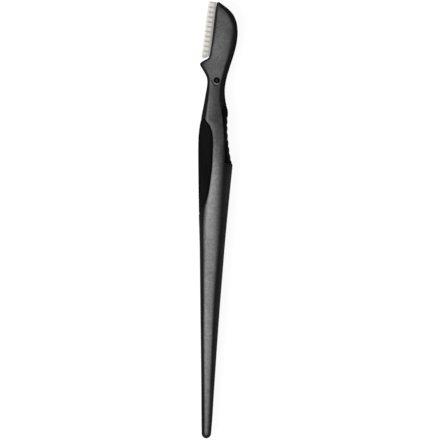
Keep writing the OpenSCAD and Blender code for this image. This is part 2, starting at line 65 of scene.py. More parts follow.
@dataclass(frozen=True)
class Sizes:
    """The sizes of the razor in millimetres, the same as those of its solids."""

    shank_l: float = 77.2
    grip_l: float = 32.4
    neck_l: float = 13.5
    head_l: float = 26.9
    tail_round: float = 1.6
    tail_r: float = 1.6
    thumb_reach: float = 5.8
    heel_reach: float = 6.3
    neck_reach_blade: float = 3.26
    neck_reach_back: float = 2.85
    chin_reach: float = 5.95
    head_reach: float = 6.7
    grip_half: float = 3.8
    head_half: float = 2.1
    land_cut: float = 0.35
    edge_base_x: float = 2.67
    edge_base_rise: float = 8.6
    edge_lean: float = 5.7
    edge_bevel: float = 0.6
    pad_t: float = 1.0
    pad_sink: float = 0.05
    pad_point_l: float = 7.0
    groove_count: int = 7
    groove_pitch: float = 2.36
    groove_depth: float = 0.16
    groove_start: float = 2.0
    strip_start: float = 0.7
    strip_l: float = 20.0
    cover_end_r: float = 1.85
    cover_end_bevel: float = 0.55
    shoulder_rise: float = 0.55
    seam: float = 0.08
    seam_depth: float = 0.35
    seam_w: float = 0.3
    recess_r: float = 1.03
    recess_depth: float = 0.8
    pin_r: float = 0.6
    pin_head_r: float = 0.85
    pin_head_t: float = 0.45
    pin_gap: float = 0.02
    pin_floor: float = 0.5
    carrier_t: float = 2.0
    carrier_w: float = 4.3
    carrier_setback: float = 0.3
    carrier_low: float = 0.9
    carrier_high: float = 17.2
    carrier_corner: float = 2.7
    carrier_wall: float = 0.3
    carrier_gap: float = 0.03
    tang_w: float = 2.8
    stack_half: float = 0.32
    rail_w: float = 0.86
    finger_w: float = 0.6
    finger_pitch: float = 1.69
    first_finger: float = 1.25
    window_count: int = 10
    guard_reach: float = 2.95
    blade_reach: float = 2.75
    grind_w: float = 0.65
    heel_share: float = 0.52

    @property
    def y_grip(self) -> float:
        """Place where the grip starts."""
        return self.shank_l

    @property
    def y_neck(self) -> float:
        """Place of the top of the thumb pad."""
        return self.y_grip + self.grip_l

    @property
    def y_pin(self) -> float:
        """Place of the neck pin."""
        return self.y_neck + self.neck_l

    @property
    def y_tip(self) -> float:
        """Place of the tip, which is also the whole length."""
        return self.y_pin + self.head_l

    @property
    def edge_y(self) -> float:
        """Lower end of the head's straight edge."""
        return self.y_pin + self.edge_base_rise

    @property
    def strip_y(self) -> float:
        """Lower end of the ribbed strip."""
        return self.y_grip + self.heel_share * self.grip_l + self.strip_start

    @property
    def strip_end(self) -> float:
        """Upper end of the ribbed strip."""
        return self.strip_y + self.strip_l

    @property
    def groove_y(self) -> float:
        """Place of the lowest groove."""
        return self.y_grip + self.heel_share * self.grip_l + self.groove_start

    @property
    def shoulder_y(self) -> float:
        """Place of the step in the handle where the head cover starts."""
        return self.y_pin + self.shoulder_rise

    @property
    def mid_z(self) -> float:
        """Height of the parting plane above the floor."""
        return self.grip_half - self.land_cut


@dataclass(frozen=True)
class Curve:
    """A smooth curve through a table, with no overshoot between its points."""

    places: Array
    values: Array

    @classmethod
    def through(cls, *zones: Array) -> "Curve":
        """Joins zones of [place, value] rows, in order of place, into one curve."""
        rows = np.vstack(zones)
        return cls(rows[:, 0], rows[:, 1])

    def at(self, y: Array) -> Array:
        """Reads the curve: a cubic between neighbours whose end slopes are the harmonic means of
        the rises on both sides, and zero where the rise turns.

        Args:
            y: places along the razor.

        Returns:
            The curve's value at each place.
        """
        p, v = self.places, self.values
        rise = np.diff(v) / np.diff(p)
        product = rise[:-1] * rise[1:]
        total = np.where(product > 0, rise[:-1] + rise[1:], 1.0)
        slope = np.concatenate(([rise[0]], np.where(product > 0, 2 * product / total, 0.0), [rise[-1]]))
        i = np.clip(np.searchsorted(p, y, side="right") - 1, 0, len(p) - 2)
        h = p[i + 1] - p[i]
        u = np.clip((y - p[i]) / h, 0, 1)
        return ((2 * u**3 - 3 * u**2 + 1) * v[i] + (u**3 - 2 * u**2 + u) * h * slope[i]
                + (3 * u**2 - 2 * u**3) * v[i + 1] + (u**3 - u**2) * h * slope[i + 1])


def zone(start: float, length: float, reach: float, shares: list[tuple[float, float]]) -> Array:
    """Turns shares of a zone's length and of a reach into lengths.

    Args:
        start: place where the zone starts.
        length: the zone's length.
        reach: the length that the second shares are of.
        shares: rows of (share of the length, share of the reach).

    Returns:
        Rows of (place, value).
    """
    rows = np.array(shares, float)
    return np.column_stack((start + rows[:, 0] * length, rows[:, 1] * reach))


def smooth_step(low: float | Array, high: float | Array, value: Array) -> Array:
    """Rises from 0 at low to 1 at high as 3t^2 - 2t^3.

    Args:
        low: value at which the step starts.
        high: value at which it ends.
        value: what is compared with them.

    Returns:
        The step's height for each value.
    """
    t = np.clip((value - low) / (high - low), 0, 1)
    return t * t * (3 - 2 * t)


def spread(start: Array, end: Array, count: int) -> Array:
    """Places count shares from start to end in each row, closer together at both ends: the
    distance from the start goes as (1 - cos(pi t)) / 2.

    Args:
        start: first value of each row.
        end: last value of each row.
        count: number of columns.

    Returns:
        An array of rows by columns.
    """
    t = (1 - np.cos(np.pi * np.linspace(0, 1, count))) / 2
    return start[:, None] + (end - start)[:, None] * t[None, :]


# The body's curves, zone by zone. Each row gives a zone, the size that its values are shares of
# (None for plain numbers), and pairs of (share of the zone's length, value). The zone "edge" is set
# back from the head's straight edge.
SHAPE = {
    "blade_edge": [
        ("tail", "tail_r", (0, 1)),
        ("shank", "thumb_reach", (0.09, 0.326), (0.27, 0.412), (0.59, 0.586), (0.875, 0.743)),
        ("grip", "thumb_reach", (0, 0.836), (0.51, 0.96), (0.7, 0.995), (0.79, 1), (0.89, 0.968),
         (0.957, 0.924), (1, 0.875)),
        ("neck", "neck_reach_blade", (0.2, 1.43), (0.35, 1.322), (0.66, 1.135), (0.81, 1.04),
         (0.94, 1)),
        ("head", "chin_reach", (0.03, 0.575), (0.06, 0.635), (0.097, 0.725), (0.134, 0.83),
         (0.175, 0.945), (0.203, 1), (0.215, 0.988), (0.226, 0.935), (0.246, 0.815), (0.266, 0.65),
         (0.281, 0.555), (0.3, 0.49)),
        ("edge", "edge_bevel", (0.345, 0), (0.955, 0), (0.982, 0.07), (0.994, 0.2), (1, 0.42))],
    "back_edge": [
        ("tail", "tail_r", (0, 1)),
        ("shank", "heel_reach", (0.09, 0.312), (0.2, 0.355), (0.4, 0.446), (0.57, 0.533),
         (0.786, 0.667), (0.892, 0.735)),
        ("grip", "heel_reach", (0, 0.817), (0.253, 0.906), (0.47, 0.985), (0.505, 0.997), (0.52, 1),
         (0.535, 0.985), (0.574, 0.922), (0.636, 0.845), (0.7, 0.79), (0.765, 0.74), (0.827, 0.702),
         (0.892, 0.673), (1, 0.655)),
        ("neck", "neck_reach_back", (0.17, 1.48), (0.26, 1.42), (0.348, 1.305), (0.504, 1.123),
         (0.66, 1.025), (0.77, 1), (0.9, 1.045)),
        ("head", "head_reach", (0, 0.473), (0.06, 0.522), (0.197, 0.67), (0.312, 0.804), (0.416, 0.91),
         (0.517, 0.979), (0.61, 1), (0.725, 0.952), (0.825, 0.801), (0.877, 0.653), (0.929, 0.425),
         (0.965, 0.23), (0.985, 0.115), (1, 0.03))],
    "blade_crease": [
        ("shank", "thumb_reach", (0, 0.1), (0.1, 0.147), (0.28, 0.2), (0.45, 0.276), (0.64, 0.352),
         (0.81, 0.465), (0.945, 0.52)),
        ("grip", "thumb_reach", (0, 0.5), (0.083, 0.448), (0.136, 0.38), (0.19, 0.314), (0.296, 0.231),
         (0.404, 0.166), (0.51, 0.119), (0.614, 0.107), (0.722, 0.107), (0.806, 0.136), (0.873, 0.202),
         (0.935, 0.338), (1, 0.6)),
        ("neck", "neck_reach_blade", (0.1, 1.028), (0.35, 0.92), (0.6, 0.82), (0.86, 0.75)),
        ("head", "chin_reach", (0.035, 0.467), (0.105, 0.618), (0.17, 0.81), (0.195, 0.865),
         (0.215, 0.815), (0.237, 0.68), (0.26, 0.52), (0.285, 0.42)),
        ("edge", "edge_bevel", (0.345, 1), (0.94, 1), (1, 0.75))],
    "back_crease": [
        ("shank", "heel_reach", (0, 0.06), (0.1, 0.08), (0.28, 0.127), (0.45, 0.143), (0.64, 0.2),
         (0.81, 0.286), (0.945, 0.35)),
        ("grip", "heel_reach", (0.09, 0.397), (0.3, 0.46), (0.51, 0.556), (0.61, 0.587), (0.72, 0.556),
         (0.83, 0.508), (0.935, 0.444)),
        ("neck", "neck_reach_back", (0.1, 0.8), (0.35, 0.526), (0.6, 0.39), (0.86, 0.42)),
        ("head", "head_reach", (0.06, 0.272), (0.186, 0.395), (0.312, 0.534), (0.442, 0.63),
         (0.569, 0.7), (0.64, 0.732), (0.7, 0.714), (0.762, 0.626), (0.825, 0.503), (0.889, 0.324),
         (0.925, 0.15), (0.95, 0.05), (1, 0))],
    "half_height": [
        ("tail", "tail_r", (0, 1)),
        ("shank", "grip_half", (0.26, 0.6), (0.65, 0.84), (1, 0.97)),
        ("grip", "grip_half", (0.45, 1), (0.85, 0.935), (1, 0.855)),
        ("neck", "head_half", (0.5, 1.26), (0.9, 1.07)),
        ("head", "head_half", (0.1, 1), (0.94, 1), (0.975, 0.82), (1, 0.58))],
    "crown": [
        ("shank", None, (0, 0.08), (0.8, 0.1)),
        ("grip", None, (0.3, 0.13), (0.9, 0.13)),
        ("neck", None, (0.5, 0.14), (1, 0.1)),
        ("head", None, (1, 0.05))],
    "wall": [
        ("shank", None, (0, 0.06), (0.8, 0.1)),
        ("grip", None, (0.2, 0.18), (0.9, 0.2)),
        ("neck", None, (0.5, 0.3), (1, 0.42)),
        ("head", None, (1, 0.42))],
    "blade_round": [
        ("shank", None, (0, 0.75), (0.8, 0.6)),
        ("grip", None, (0.15, 0.1), (0.5, -0.06), (0.85, 0), (1, 0.2)),
        ("head", None, (0, 0.15), (1, 0.15))],
    "back_round": [
        ("shank", None, (0, 0.75), (0.8, 0.6)),
        ("grip", None, (0.5, 0.4), (1, 0.35)),
        ("head", None, (0, 0.2), (1, 0.15))],
}


@dataclass(frozen=True)
class Outline:
    """The curves that shape the body: its two edges, the two creases of its face and its thickness."""

    sizes: Sizes
    blade_edge: Curve = field(init=False)
    back_edge: Curve = field(init=False)
    blade_crease: Curve = field(init=False)
    back_crease: Curve = field(init=False)
    half_height: Curve = field(init=False)
    crown: Curve = field(init=False)
    wall: Curve = field(init=False)
    blade_round: Curve = field(init=False)
    back_round: Curve = field(init=False)

    def __post_init__(self) -> None:
        """Works the curves out from the sizes."""
        s = self.sizes
        zones = {"tail": (0.0, 1.0), "shank": (0.0, s.shank_l), "grip": (s.y_grip, s.grip_l),
                 "neck": (s.y_neck, s.neck_l), "head": (s.y_pin, s.head_l)}
        for name, parts in SHAPE.items():
            rows = [self.beside_edge(shares) if part == "edge" else
                    zone(*zones[part], getattr(s, reach) if reach else 1.0, shares)
                    for part, reach, *shares in parts]
            object.__setattr__(self, name, Curve.through(*rows))

    def beside_edge(self, shares: list[tuple[float, float]]) -> Array:
        """Rows that follow the head's straight leaning edge, set back by shares of its bevel.

        Args:
            shares: rows of (share of the head's length, share of the bevel's width).

        Returns:
            Rows of (place, distance from the axis).
        """
        s = self.sizes
        rows = np.array(shares, float)
        y = s.y_pin + rows[:, 0] * s.head_l
        x = s.edge_base_x - math.tan(math.radians(s.edge_lean)) * (y - s.edge_y)
        return np.column_stack((y, x - rows[:, 1] * s.edge_bevel))


# How light the moulded surface is along the razor, and the widths of its fades, as pairs of
# (place, value) for the curves of Tone. The level, ridge and fall paint light and shade on the
# face, and the sheen paints a reflection on the back facet.
TONES = {
    # level: the face's lightness along the razor, partly painted light from the lamp.
    "level": [(0, 0.16), (8, 0.165), (21, 0.172), (35, 0.2), (49, 0.19), (63, 0.21), (77, 0.24),
        (87, 0.21), (97, 0.108), (104, 0.065), (110, 0.05), (115, 0.055), (120, 0.057), (122, 0.085),
        (125, 0.134), (130, 0.158), (135, 0.182), (140, 0.138), (145, 0.12), (146.7, 0.09),
        (147.6, 0.063), (148.5, 0.05), (150, 0.03)],
    # ridge: painted light beside the blade side's crease, or painted shade where it is below 0.
    "ridge": [(0, 0.1), (21, 0.35), (35, 0.25), (49, 0.35), (63, 0.3), (77, 0.45), (87, 0.55),
        (97, 1.35), (104, 1.1), (110, 2.9), (115, 2.4), (120, 1.6), (122, 0.75), (124, 0),
        (125.3, -0.22), (126.7, -0.58), (128.1, -0.68), (129.5, -0.62), (131, -0.33), (133.3, -0.25),
        (136.5, -0.42), (145, -0.3), (148, 0), (150, 0)],
    "ridge_width": [(0, 0.6), (49, 1.0), (77, 1.5), (87, 1.2), (97, 0.7), (104, 0.8), (110, 1.3),
        (115, 1.3), (120, 1.1), (125.3, 0.9), (126.7, 1.7), (128.1, 2.6), (129.5, 1.8), (131, 1.3),
        (136, 1.5), (146, 1.4), (150, 1.0)],
    # fall: painted shade on the face towards the back's crease.
    "fall": [(0, 0), (124, 0), (126.7, 0.22), (130, 0.43), (135, 0.65), (140, 0.55), (145, 0.15),
        (150, 0)],
    "blade_in": [(0, 0.5), (8, 0.6), (21, 0.5), (35, 0.5), (49, 0.55), (63, 1.1), (77, 1.4), (84, 0.6),
        (122, 0.42), (124, 0.65), (128, 0.6), (131, 0.5), (134, 0.2), (150, 0.2)],
    "blade_out": [(0, 0.2), (8, 0.2), (21, 0.4), (35, 0.5), (49, 0.5), (63, 0.35), (77, 0.4), (84, 0.2),
        (150, 0.15)],
    "back_in": [(0, 0.45), (8, 0.45), (21, 0.6), (35, 0.5), (49, 1.0), (63, 1.4), (77, 2.6), (87, 2.9),
        (97, 3.0), (104, 0.9), (114, 0.55), (124, 0.5), (140, 0.5), (145, 1.0), (150, 0.5)],
    "back_out": [(0, 0.7), (8, 0.75), (21, 0.5), (35, 0.45), (49, 0.55), (63, 0.75), (77, 1.0),
        (87, 0.8), (97, 0.4), (114, 0.5), (124, 0.35), (131, 0.5), (135, 0.9), (141, 0.85), (150, 0.4)],
    # sheen: a painted reflection on the back facet, towards its edge.
    "sheen": [(0, 0.032), (21, 0.04), (35, 0.05), (49, 0.05), (63, 0.045), (77, 0.045), (88, 0.068),
        (93, 0.04), (97, 0), (150, 0)],
}


@dataclass(frozen=True)
class Tone:
    """How light the moulded surface is, painted light and shade included. Its faces have a grey
    spark texture that fades out over the creases, by a width on the inside and one on the outside
    of each crease, and whose level along the razor is partly painted light. Beside the blade side's
    crease the face carries painted light, and towards the back's crease it can be darker with
    painted shade. Along the shank and grip the back facet lightens towards the edge, by the square
    of the way out, as a painted reflection."""

    outline: Outline
    level: Curve
    ridge: Curve
    ridge_width: Curve
    fall: Curve
    blade_in: Curve
    blade_out: Curve
    back_in: Curve
    back_out: Curve
    sheen: Curve
    # rim: the walls' darker value, painted shade; facet: the facets' own dark value.
    rim: float = 0.004
    facet: float = 0.011
    edge_rim: float = 0.014
    # glint: a painted highlight on the tab's bevel.
    glint: float = 1.0
    glint_turn: float = 265.0
    glint_spread: tuple[float, float] = (0.6, 0.98)
    glint_start: tuple[float, float] = (0.0, 0.2)
    glint_end: tuple[float, float] = (1.6, 1.85)
    tail_fade: tuple[float, float] = (0.75, 2.2)
    recess_fade: tuple[float, float] = (-0.05, 0.1)
    rim_fade: tuple[float, float] = (0.1, 0.9)
    facet_fade: tuple[float, float] = (0.0, 0.4)
    edge_fade: tuple[float, float] = (-3.0, 0.0)
    side_fade: tuple[float, float] = (0.0, 0.5)

    @classmethod
    def textured(cls, outline: Outline) -> "Tone":
        """The tone, painted light and shade included, of the spark-textured body, whose curves are in
        the outline.
        """
        curves = {name: Curve.through(np.array(rows, float)) for name, rows in TONES.items()}
        return cls(outline=outline, **curves)

    def at(self, x: Array, y: Array) -> Array:
        """Works out the surface's reflectance: a facet's or a rim's dark value, with painted shade on
        the walls, rising to the face's level between the creases, with painted shade at the end of the
        tail and in the recess round the pin. The rim beside the blade is a little lighter than the
        others.

        Args:
            x: distances from the axis.
            y: places along the razor.

        Returns:
            The share of light that each point reflects.
        """
        o, s = self.outline, self.outline.sizes
        left, right = x + o.blade_crease.at(y), o.back_crease.at(y) - x
        inwards = o.back_edge.at(y) - x
        recess = np.hypot(x, y - s.y_pin) - s.recess_r
        # The face's share falls to 0 at the tail's end and in the pin's recess, as painted shade there.
        share = (smooth_step(-self.blade_out.at(y), self.blade_in.at(y), left)
                 * smooth_step(-self.back_out.at(y), self.back_in.at(y), right)
                 * smooth_step(*self.tail_fade, y) * smooth_step(*self.recess_fade, recess))
        # Painted shade: the walls keep the rim's darker value, and the facets take the facet's.
        edge = smooth_step(*self.rim_fade, inwards) * smooth_step(*self.facet_fade, -right)
        dark = self.rim + (self.facet - self.rim) * edge
        # Painted reflection: along the shank and grip the back facet lightens towards its edge.
        outwards = np.clip(-right / (o.back_edge.at(y) - o.back_crease.at(y)), 0, 1)
        dark = dark + self.sheen.at(y) * outwards**2
        beside = smooth_step(*self.edge_fade, y - s.edge_y) * smooth_step(*self.side_fade, right)
        dark = dark + (self.edge_rim - dark) * beside
        across = np.clip(left / (left + right), 0, 1)
        # Painted light beside the blade side's crease: a highlight on shank, grip and neck, painted
        # shade on the head where the ridge is below 0.
        painted_ridge_shading = 1 + self.ridge.at(y) * np.exp(-np.clip(left, 0, None) / self.ridge_width.at(y))
        # Painted shade: the face darkens towards the back's crease by the fall.
        face = self.level.at(y) * painted_ridge_shading * (1 - self.fall.at(y) * across**2)
        return dark + (face * (1 + self.painted_glint(x, y)) - dark) * share

    def painted_glint(self, x: Array, y: Array) -> Array:
        """A painted glint: how much lighter the bevel round the cover's tab is, on its lower blade
        side.

        Args:
            x: distances from the axis.
            y: places along the razor.

        Returns:
            The share by which each point is lighter.
        """
        s, way = self.outline.sizes, math.radians(self.glint_turn)
        up = y - s.y_pin
        r = np.hypot(x, up)
        towards = (x * math.cos(way) + up * math.sin(way)) / np.maximum(r, TINY)
        ring = smooth_step(*self.glint_start, r - s.recess_r) * (1 - smooth_step(*self.glint_end, r))
        return self.glint * ring * smooth_step(*self.glint_spread, towards)


@dataclass(frozen=True)
class Softness:
    """How far the body's corners are rounded, as the width of a Gaussian in millimetres."""

    blade: Curve
    back: Curve

    @classmethod
    def moulded(cls, s: Sizes) -> "Softness":
        """The rounding of the moulded body: soft on the shank and grip, crisp on the head.

        Args:
            s: the razor's sizes.

        Returns:
            The rounding along both sides.
        """
        blade = np.array([[0, 0.3], [s.y_grip - 14, 0.34], [s.y_grip, 0.22], [s.y_grip + 6, 0.1],
                          [s.y_neck - 3, 0.1], [s.y_neck + 4, 0.16], [s.y_pin, 0.13], [s.y_tip, 0.11]])
        back = np.array([[0, 0.3], [s.y_grip - 30, 0.45], [s.y_grip, 0.6], [s.y_neck - 8, 0.5],
                         [s.y_neck + 4, 0.25], [s.y_pin, 0.15], [s.y_tip, 0.12]])
        return cls(Curve.through(blade), Curve.through(back))


class Skin:
    """The outer surface of the body at a row of places, read by the share of the way round it.

    The way round starts at the middle of the blade side's wall and runs over the front, so
    0.25 is near the face, 0.5 is the middle of the back edge's wall and 0.75 is near the rear face.
    """

    RESOLUTION = 1024
    WALL_POINTS, FACET_POINTS, FACE_POINTS = 9, 41, 61
    TAIL_LEAST = 0.04
    BORDER_START = 0.03
    PAD_RISE, PAD_POWER = 0.82, 1.6
    STRIP_RISE, STRIP_POWER, STRIP_POINT = 0.67, 2, 6

    def __init__(self, outline: Outline, softness: Softness, y: Array) -> None:
        """Works out the sections and rounds their corners.

        Args:
            outline: the curves of the body.
            softness: the rounding of its corners.
            y: the places along the razor.
        """
        self.outline, self.y = outline, y
        half, corners = self.half_section()
        length, shares = self.measured(half)
        self.girth = 2 * length
        self.wall, self.crease, self.far_crease, self.far_wall = (shares[:, c] / 2 for c in corners)
        even = np.linspace(0, 0.5, self.RESOLUTION // 2 + 1) * 2
        around = self.read(half, shares, np.broadcast_to(even, (len(y), len(even))))
        ring = np.concatenate((around, around[:, -2:0:-1] * np.array([1, -1])), axis=1)
        blade = self.rounded(ring, softness.blade.at(y))
        back = self.rounded(ring, softness.back.at(y))
        way = np.linspace(0, 1, self.RESOLUTION, endpoint=False)
        near = np.minimum(way, 1 - way)
        mix = smooth_step(self.crease[:, None], self.far_crease[:, None], near[None, :])
        self.ring = blade + (back - blade) * mix[..., None]

    def half_section(self) -> tuple[Array, tuple[int, int, int, int]]:
        """The front half of each section: wall, facet, crowned face, facet, wall. A facet runs
        from its crease to the wall as a mix of a straight line and a quarter ellipse, and the
        face is a parabola over the line between the creases.

        Returns:
            Points of rows by columns by (x, z), and the columns of the four corners.
        """
        o, y = self.outline, self.y[:, None]
        start = 1 - np.clip(self.y / o.sizes.tail_round, 0, 1)
        tail = np.sqrt(np.clip(1 - start**2, self.TAIL_LEAST, 1))[:, None]
        half = o.half_height.at(y)
        top, wall = half * (1 - o.crown.at(y)), half * o.wall.at(y)
        left, right = -o.blade_crease.at(y), o.back_crease.at(y)
        up = np.linspace(0, 1, self.WALL_POINTS)[None, :-1]
        u = np.linspace(0, 1, self.FACET_POINTS)[None, :]
        w = np.linspace(-1, 1, self.FACE_POINTS)[None, 1:-1]

        def facet(crease: Array, side: Array, roundness: Array, u: Array) -> tuple[Array, Array]:
            """Points of a facet.

            Args:
                crease: distances of the creases from the axis.
                side: distances of the walls from the axis.
                roundness: shares of the quarter ellipse.
                u: shares of the way from the crease to the wall.

            Returns:
                The points' x and z.
            """
            out = (1 - roundness) * u + roundness * np.sin(np.pi / 2 * u)
            down = (1 - roundness) * (1 - u) + roundness * np.cos(np.pi / 2 * u)
            return crease + (side - crease) * out, wall + (top - wall) * down

        blade = facet(left, -o.blade_edge.at(y), o.blade_round.at(y), u[:, ::-1])
        back = facet(right, o.back_edge.at(y), o.back_round.at(y), u)
        face = ((left + right) / 2 + w * (right - left) / 2, top + half * o.crown.at(y) * (1 - w**2))
        rows = (-o.blade_edge.at(y) + 0 * up, wall * up)
        ends = (o.back_edge.at(y) + 0 * up, wall * up[:, ::-1])
        x, z = (np.concatenate(parts, axis=1) for parts in zip(rows, blade, face, back, ends))
        n, m, k = up.shape[1], u.shape[1], w.shape[1]
        corners = (n, n + m - 1, n + m + k, n + 2 * m + k - 1)
        return np.stack((x, z), axis=2) * tail[..., None], corners

    @staticmethod
    def measured(points: Array) -> tuple[Array, Array]:
        """The length of each row of points, and the share of it at which each point lies.

        Args:
            points: rows by columns by coordinates.

        Returns:
            The lengths, and the shares by rows and columns.
        """
        steps = np.linalg.norm(np.diff(points, axis=1), axis=2)
        along = np.concatenate((np.zeros((len(points), 1)), np.cumsum(steps, axis=1)), axis=1)
        return along[:, -1], along / along[:, -1:]

    @staticmethod
    def read(points: Array, shares: Array, wanted: Array) -> Array:
        """Reads rows of points at wanted shares, linearly. The rows are laid end to end, two
        units apart, so that one interpolation serves them all.

        Args:
            points: rows by columns by coordinates.
            shares: the share at which each point lies, from 0 to 1.
            wanted: the shares to read, by rows and columns.

        Returns:
            The points at the wanted shares.
        """
        row = 2.0 * np.arange(len(points))[:, None]
        at, known = (row + wanted).ravel(), (row + shares).ravel()
        out = [np.interp(at, known, points[..., i].ravel()) for i in range(points.shape[2])]
        return np.stack(out, axis=1).reshape(*wanted.shape, points.shape[2])

    def rounded(self, ring: Array, width: Array) -> Array:
        """Rounds the corners of closed sections: each is blurred along its length with a
        Gaussian, by damping its Fourier terms by exp(-2 (pi f width)^2).

        Args:
            ring: rows by even columns by (x, z).
            width: the Gaussian's width in each row.

        Returns:
            The rounded sections.
        """
        waves = np.arange(ring.shape[1] // 2 + 1)[None, :] / self.girth[:, None]
        damping = np.exp(-2 * (np.pi * waves * width[:, None]) ** 2)
        return np.fft.irfft(np.fft.rfft(ring, axis=1) * damping[..., None], n=ring.shape[1], axis=1)

    def at(self, share: Array) -> Array:
        """Points of the surface at shares of the way round, which may pass 0 or 1.

        Args:
            share: rows by columns.

        Returns:
            Rows by columns by (x, z).
        """
        closed = np.concatenate((self.ring, self.ring[:, :1]), axis=1)
        even = np.broadcast_to(np.linspace(0, 1, closed.shape[1]), closed.shape[:2])
        return self.read(closed, even, np.mod(share, 1.0))

    def pad_border(self, gap: float) -> Array:
        """Where the thumb pad's border lies on the blade facet. It rises from a blunt point at
        the lower end to just beside the crease, as the distance from the point to a power.

        Args:
            gap: distance by which the border moves towards the face.

        Returns:
            The share of the way round in each row.
        """
        s = self.outline.sizes
        u = np.clip(1 - (self.y - s.y_grip) / s.pad_point_l, 0, 1)
        start = self.BORDER_START + self.PAD_RISE * u**self.PAD_POWER
        return self.crease + (self.wall - self.crease) * start + gap / self.girth

    def strip_border(self, gap: float) -> Array:
        """Where the ribbed strip's border lies on the back facet. It narrows to a blunt point
        at the upper end, as a power of the distance.

        Args:
            gap: distance by which the border moves towards the face.

        Returns:
            The share of the way round in each row.
        """
        s = self.outline.sizes
        u = np.clip(1 - (s.strip_end - self.y) * self.STRIP_POINT / s.strip_l, 0, 1)
        start = self.BORDER_START + self.STRIP_RISE * u**self.STRIP_POWER
        return self.far_crease + (self.far_wall - self.far_crease) * start - gap / self.girth


def spans(rows: list[tuple[Array, Array, int]]) -> Array:
    """Places shares in neighbouring stretches of each ring, with one column where two meet.

    Args:
        rows: for each stretch its starts, its ends and its number of columns.

    Returns:
        An array of rings by columns.
    """
    parts = [spread(*row)[:, :-1] for row in rows[:-1]]
    return np.concatenate((*parts, spread(*rows[-1])), axis=1)


def circle(radius: float, count: int, centre_y: float, start: float = 0.0,
           turn: float = 2 * math.pi) -> Array:
    """Points round an upright axis over the razor's own axis.

    Args:
        radius: the circle's radius.
        count: number of points, of which the last is the first again on a whole turn.
        centre_y: place of the centre.
        start: angle of the first point, in radians.
        turn: angle from there to the last point.

    Returns:
        Rows of (x, y).
    """
    angles = np.linspace(start, start + turn, count)
    return np.column_stack((radius * np.cos(angles), centre_y + radius * np.sin(angles)))


def inward(points: Array, depth: Array) -> Array:
    """Moves points of a section into the body, towards a quarter of their distance from the axis.

    Args:
        points: rows by columns by (x, z).
        depth: how far each point moves.

    Returns:
        The moved points.
    """
    aim = points * np.array([0.25, 0.0]) - points
    return points + depth[..., None] * aim / np.linalg.norm(aim, axis=2, keepdims=True)


def rounding(distance: Array, radius: float) -> Array:
    """How far a surface drops within a radius of its border, as a quarter circle does.

    Args:
        distance: distance from the border.
        radius: radius of the quarter circle.

    Returns:
        The drop at each distance.
    """
    short = np.clip(radius - distance, 0, radius)
    return radius - np.sqrt(np.maximum(radius**2 - short**2, 0))


def coordinates(data: bpy.types.Mesh) -> Array:
    """Reads a mesh's points.

    Args:
        data: the mesh.

    Returns:
        Rows of (x, y, z).
    """
    co = np.empty(len(data.vertices) * 3, np.float32)
    data.vertices.foreach_get("co", co)
    return co.reshape(-1, 3)


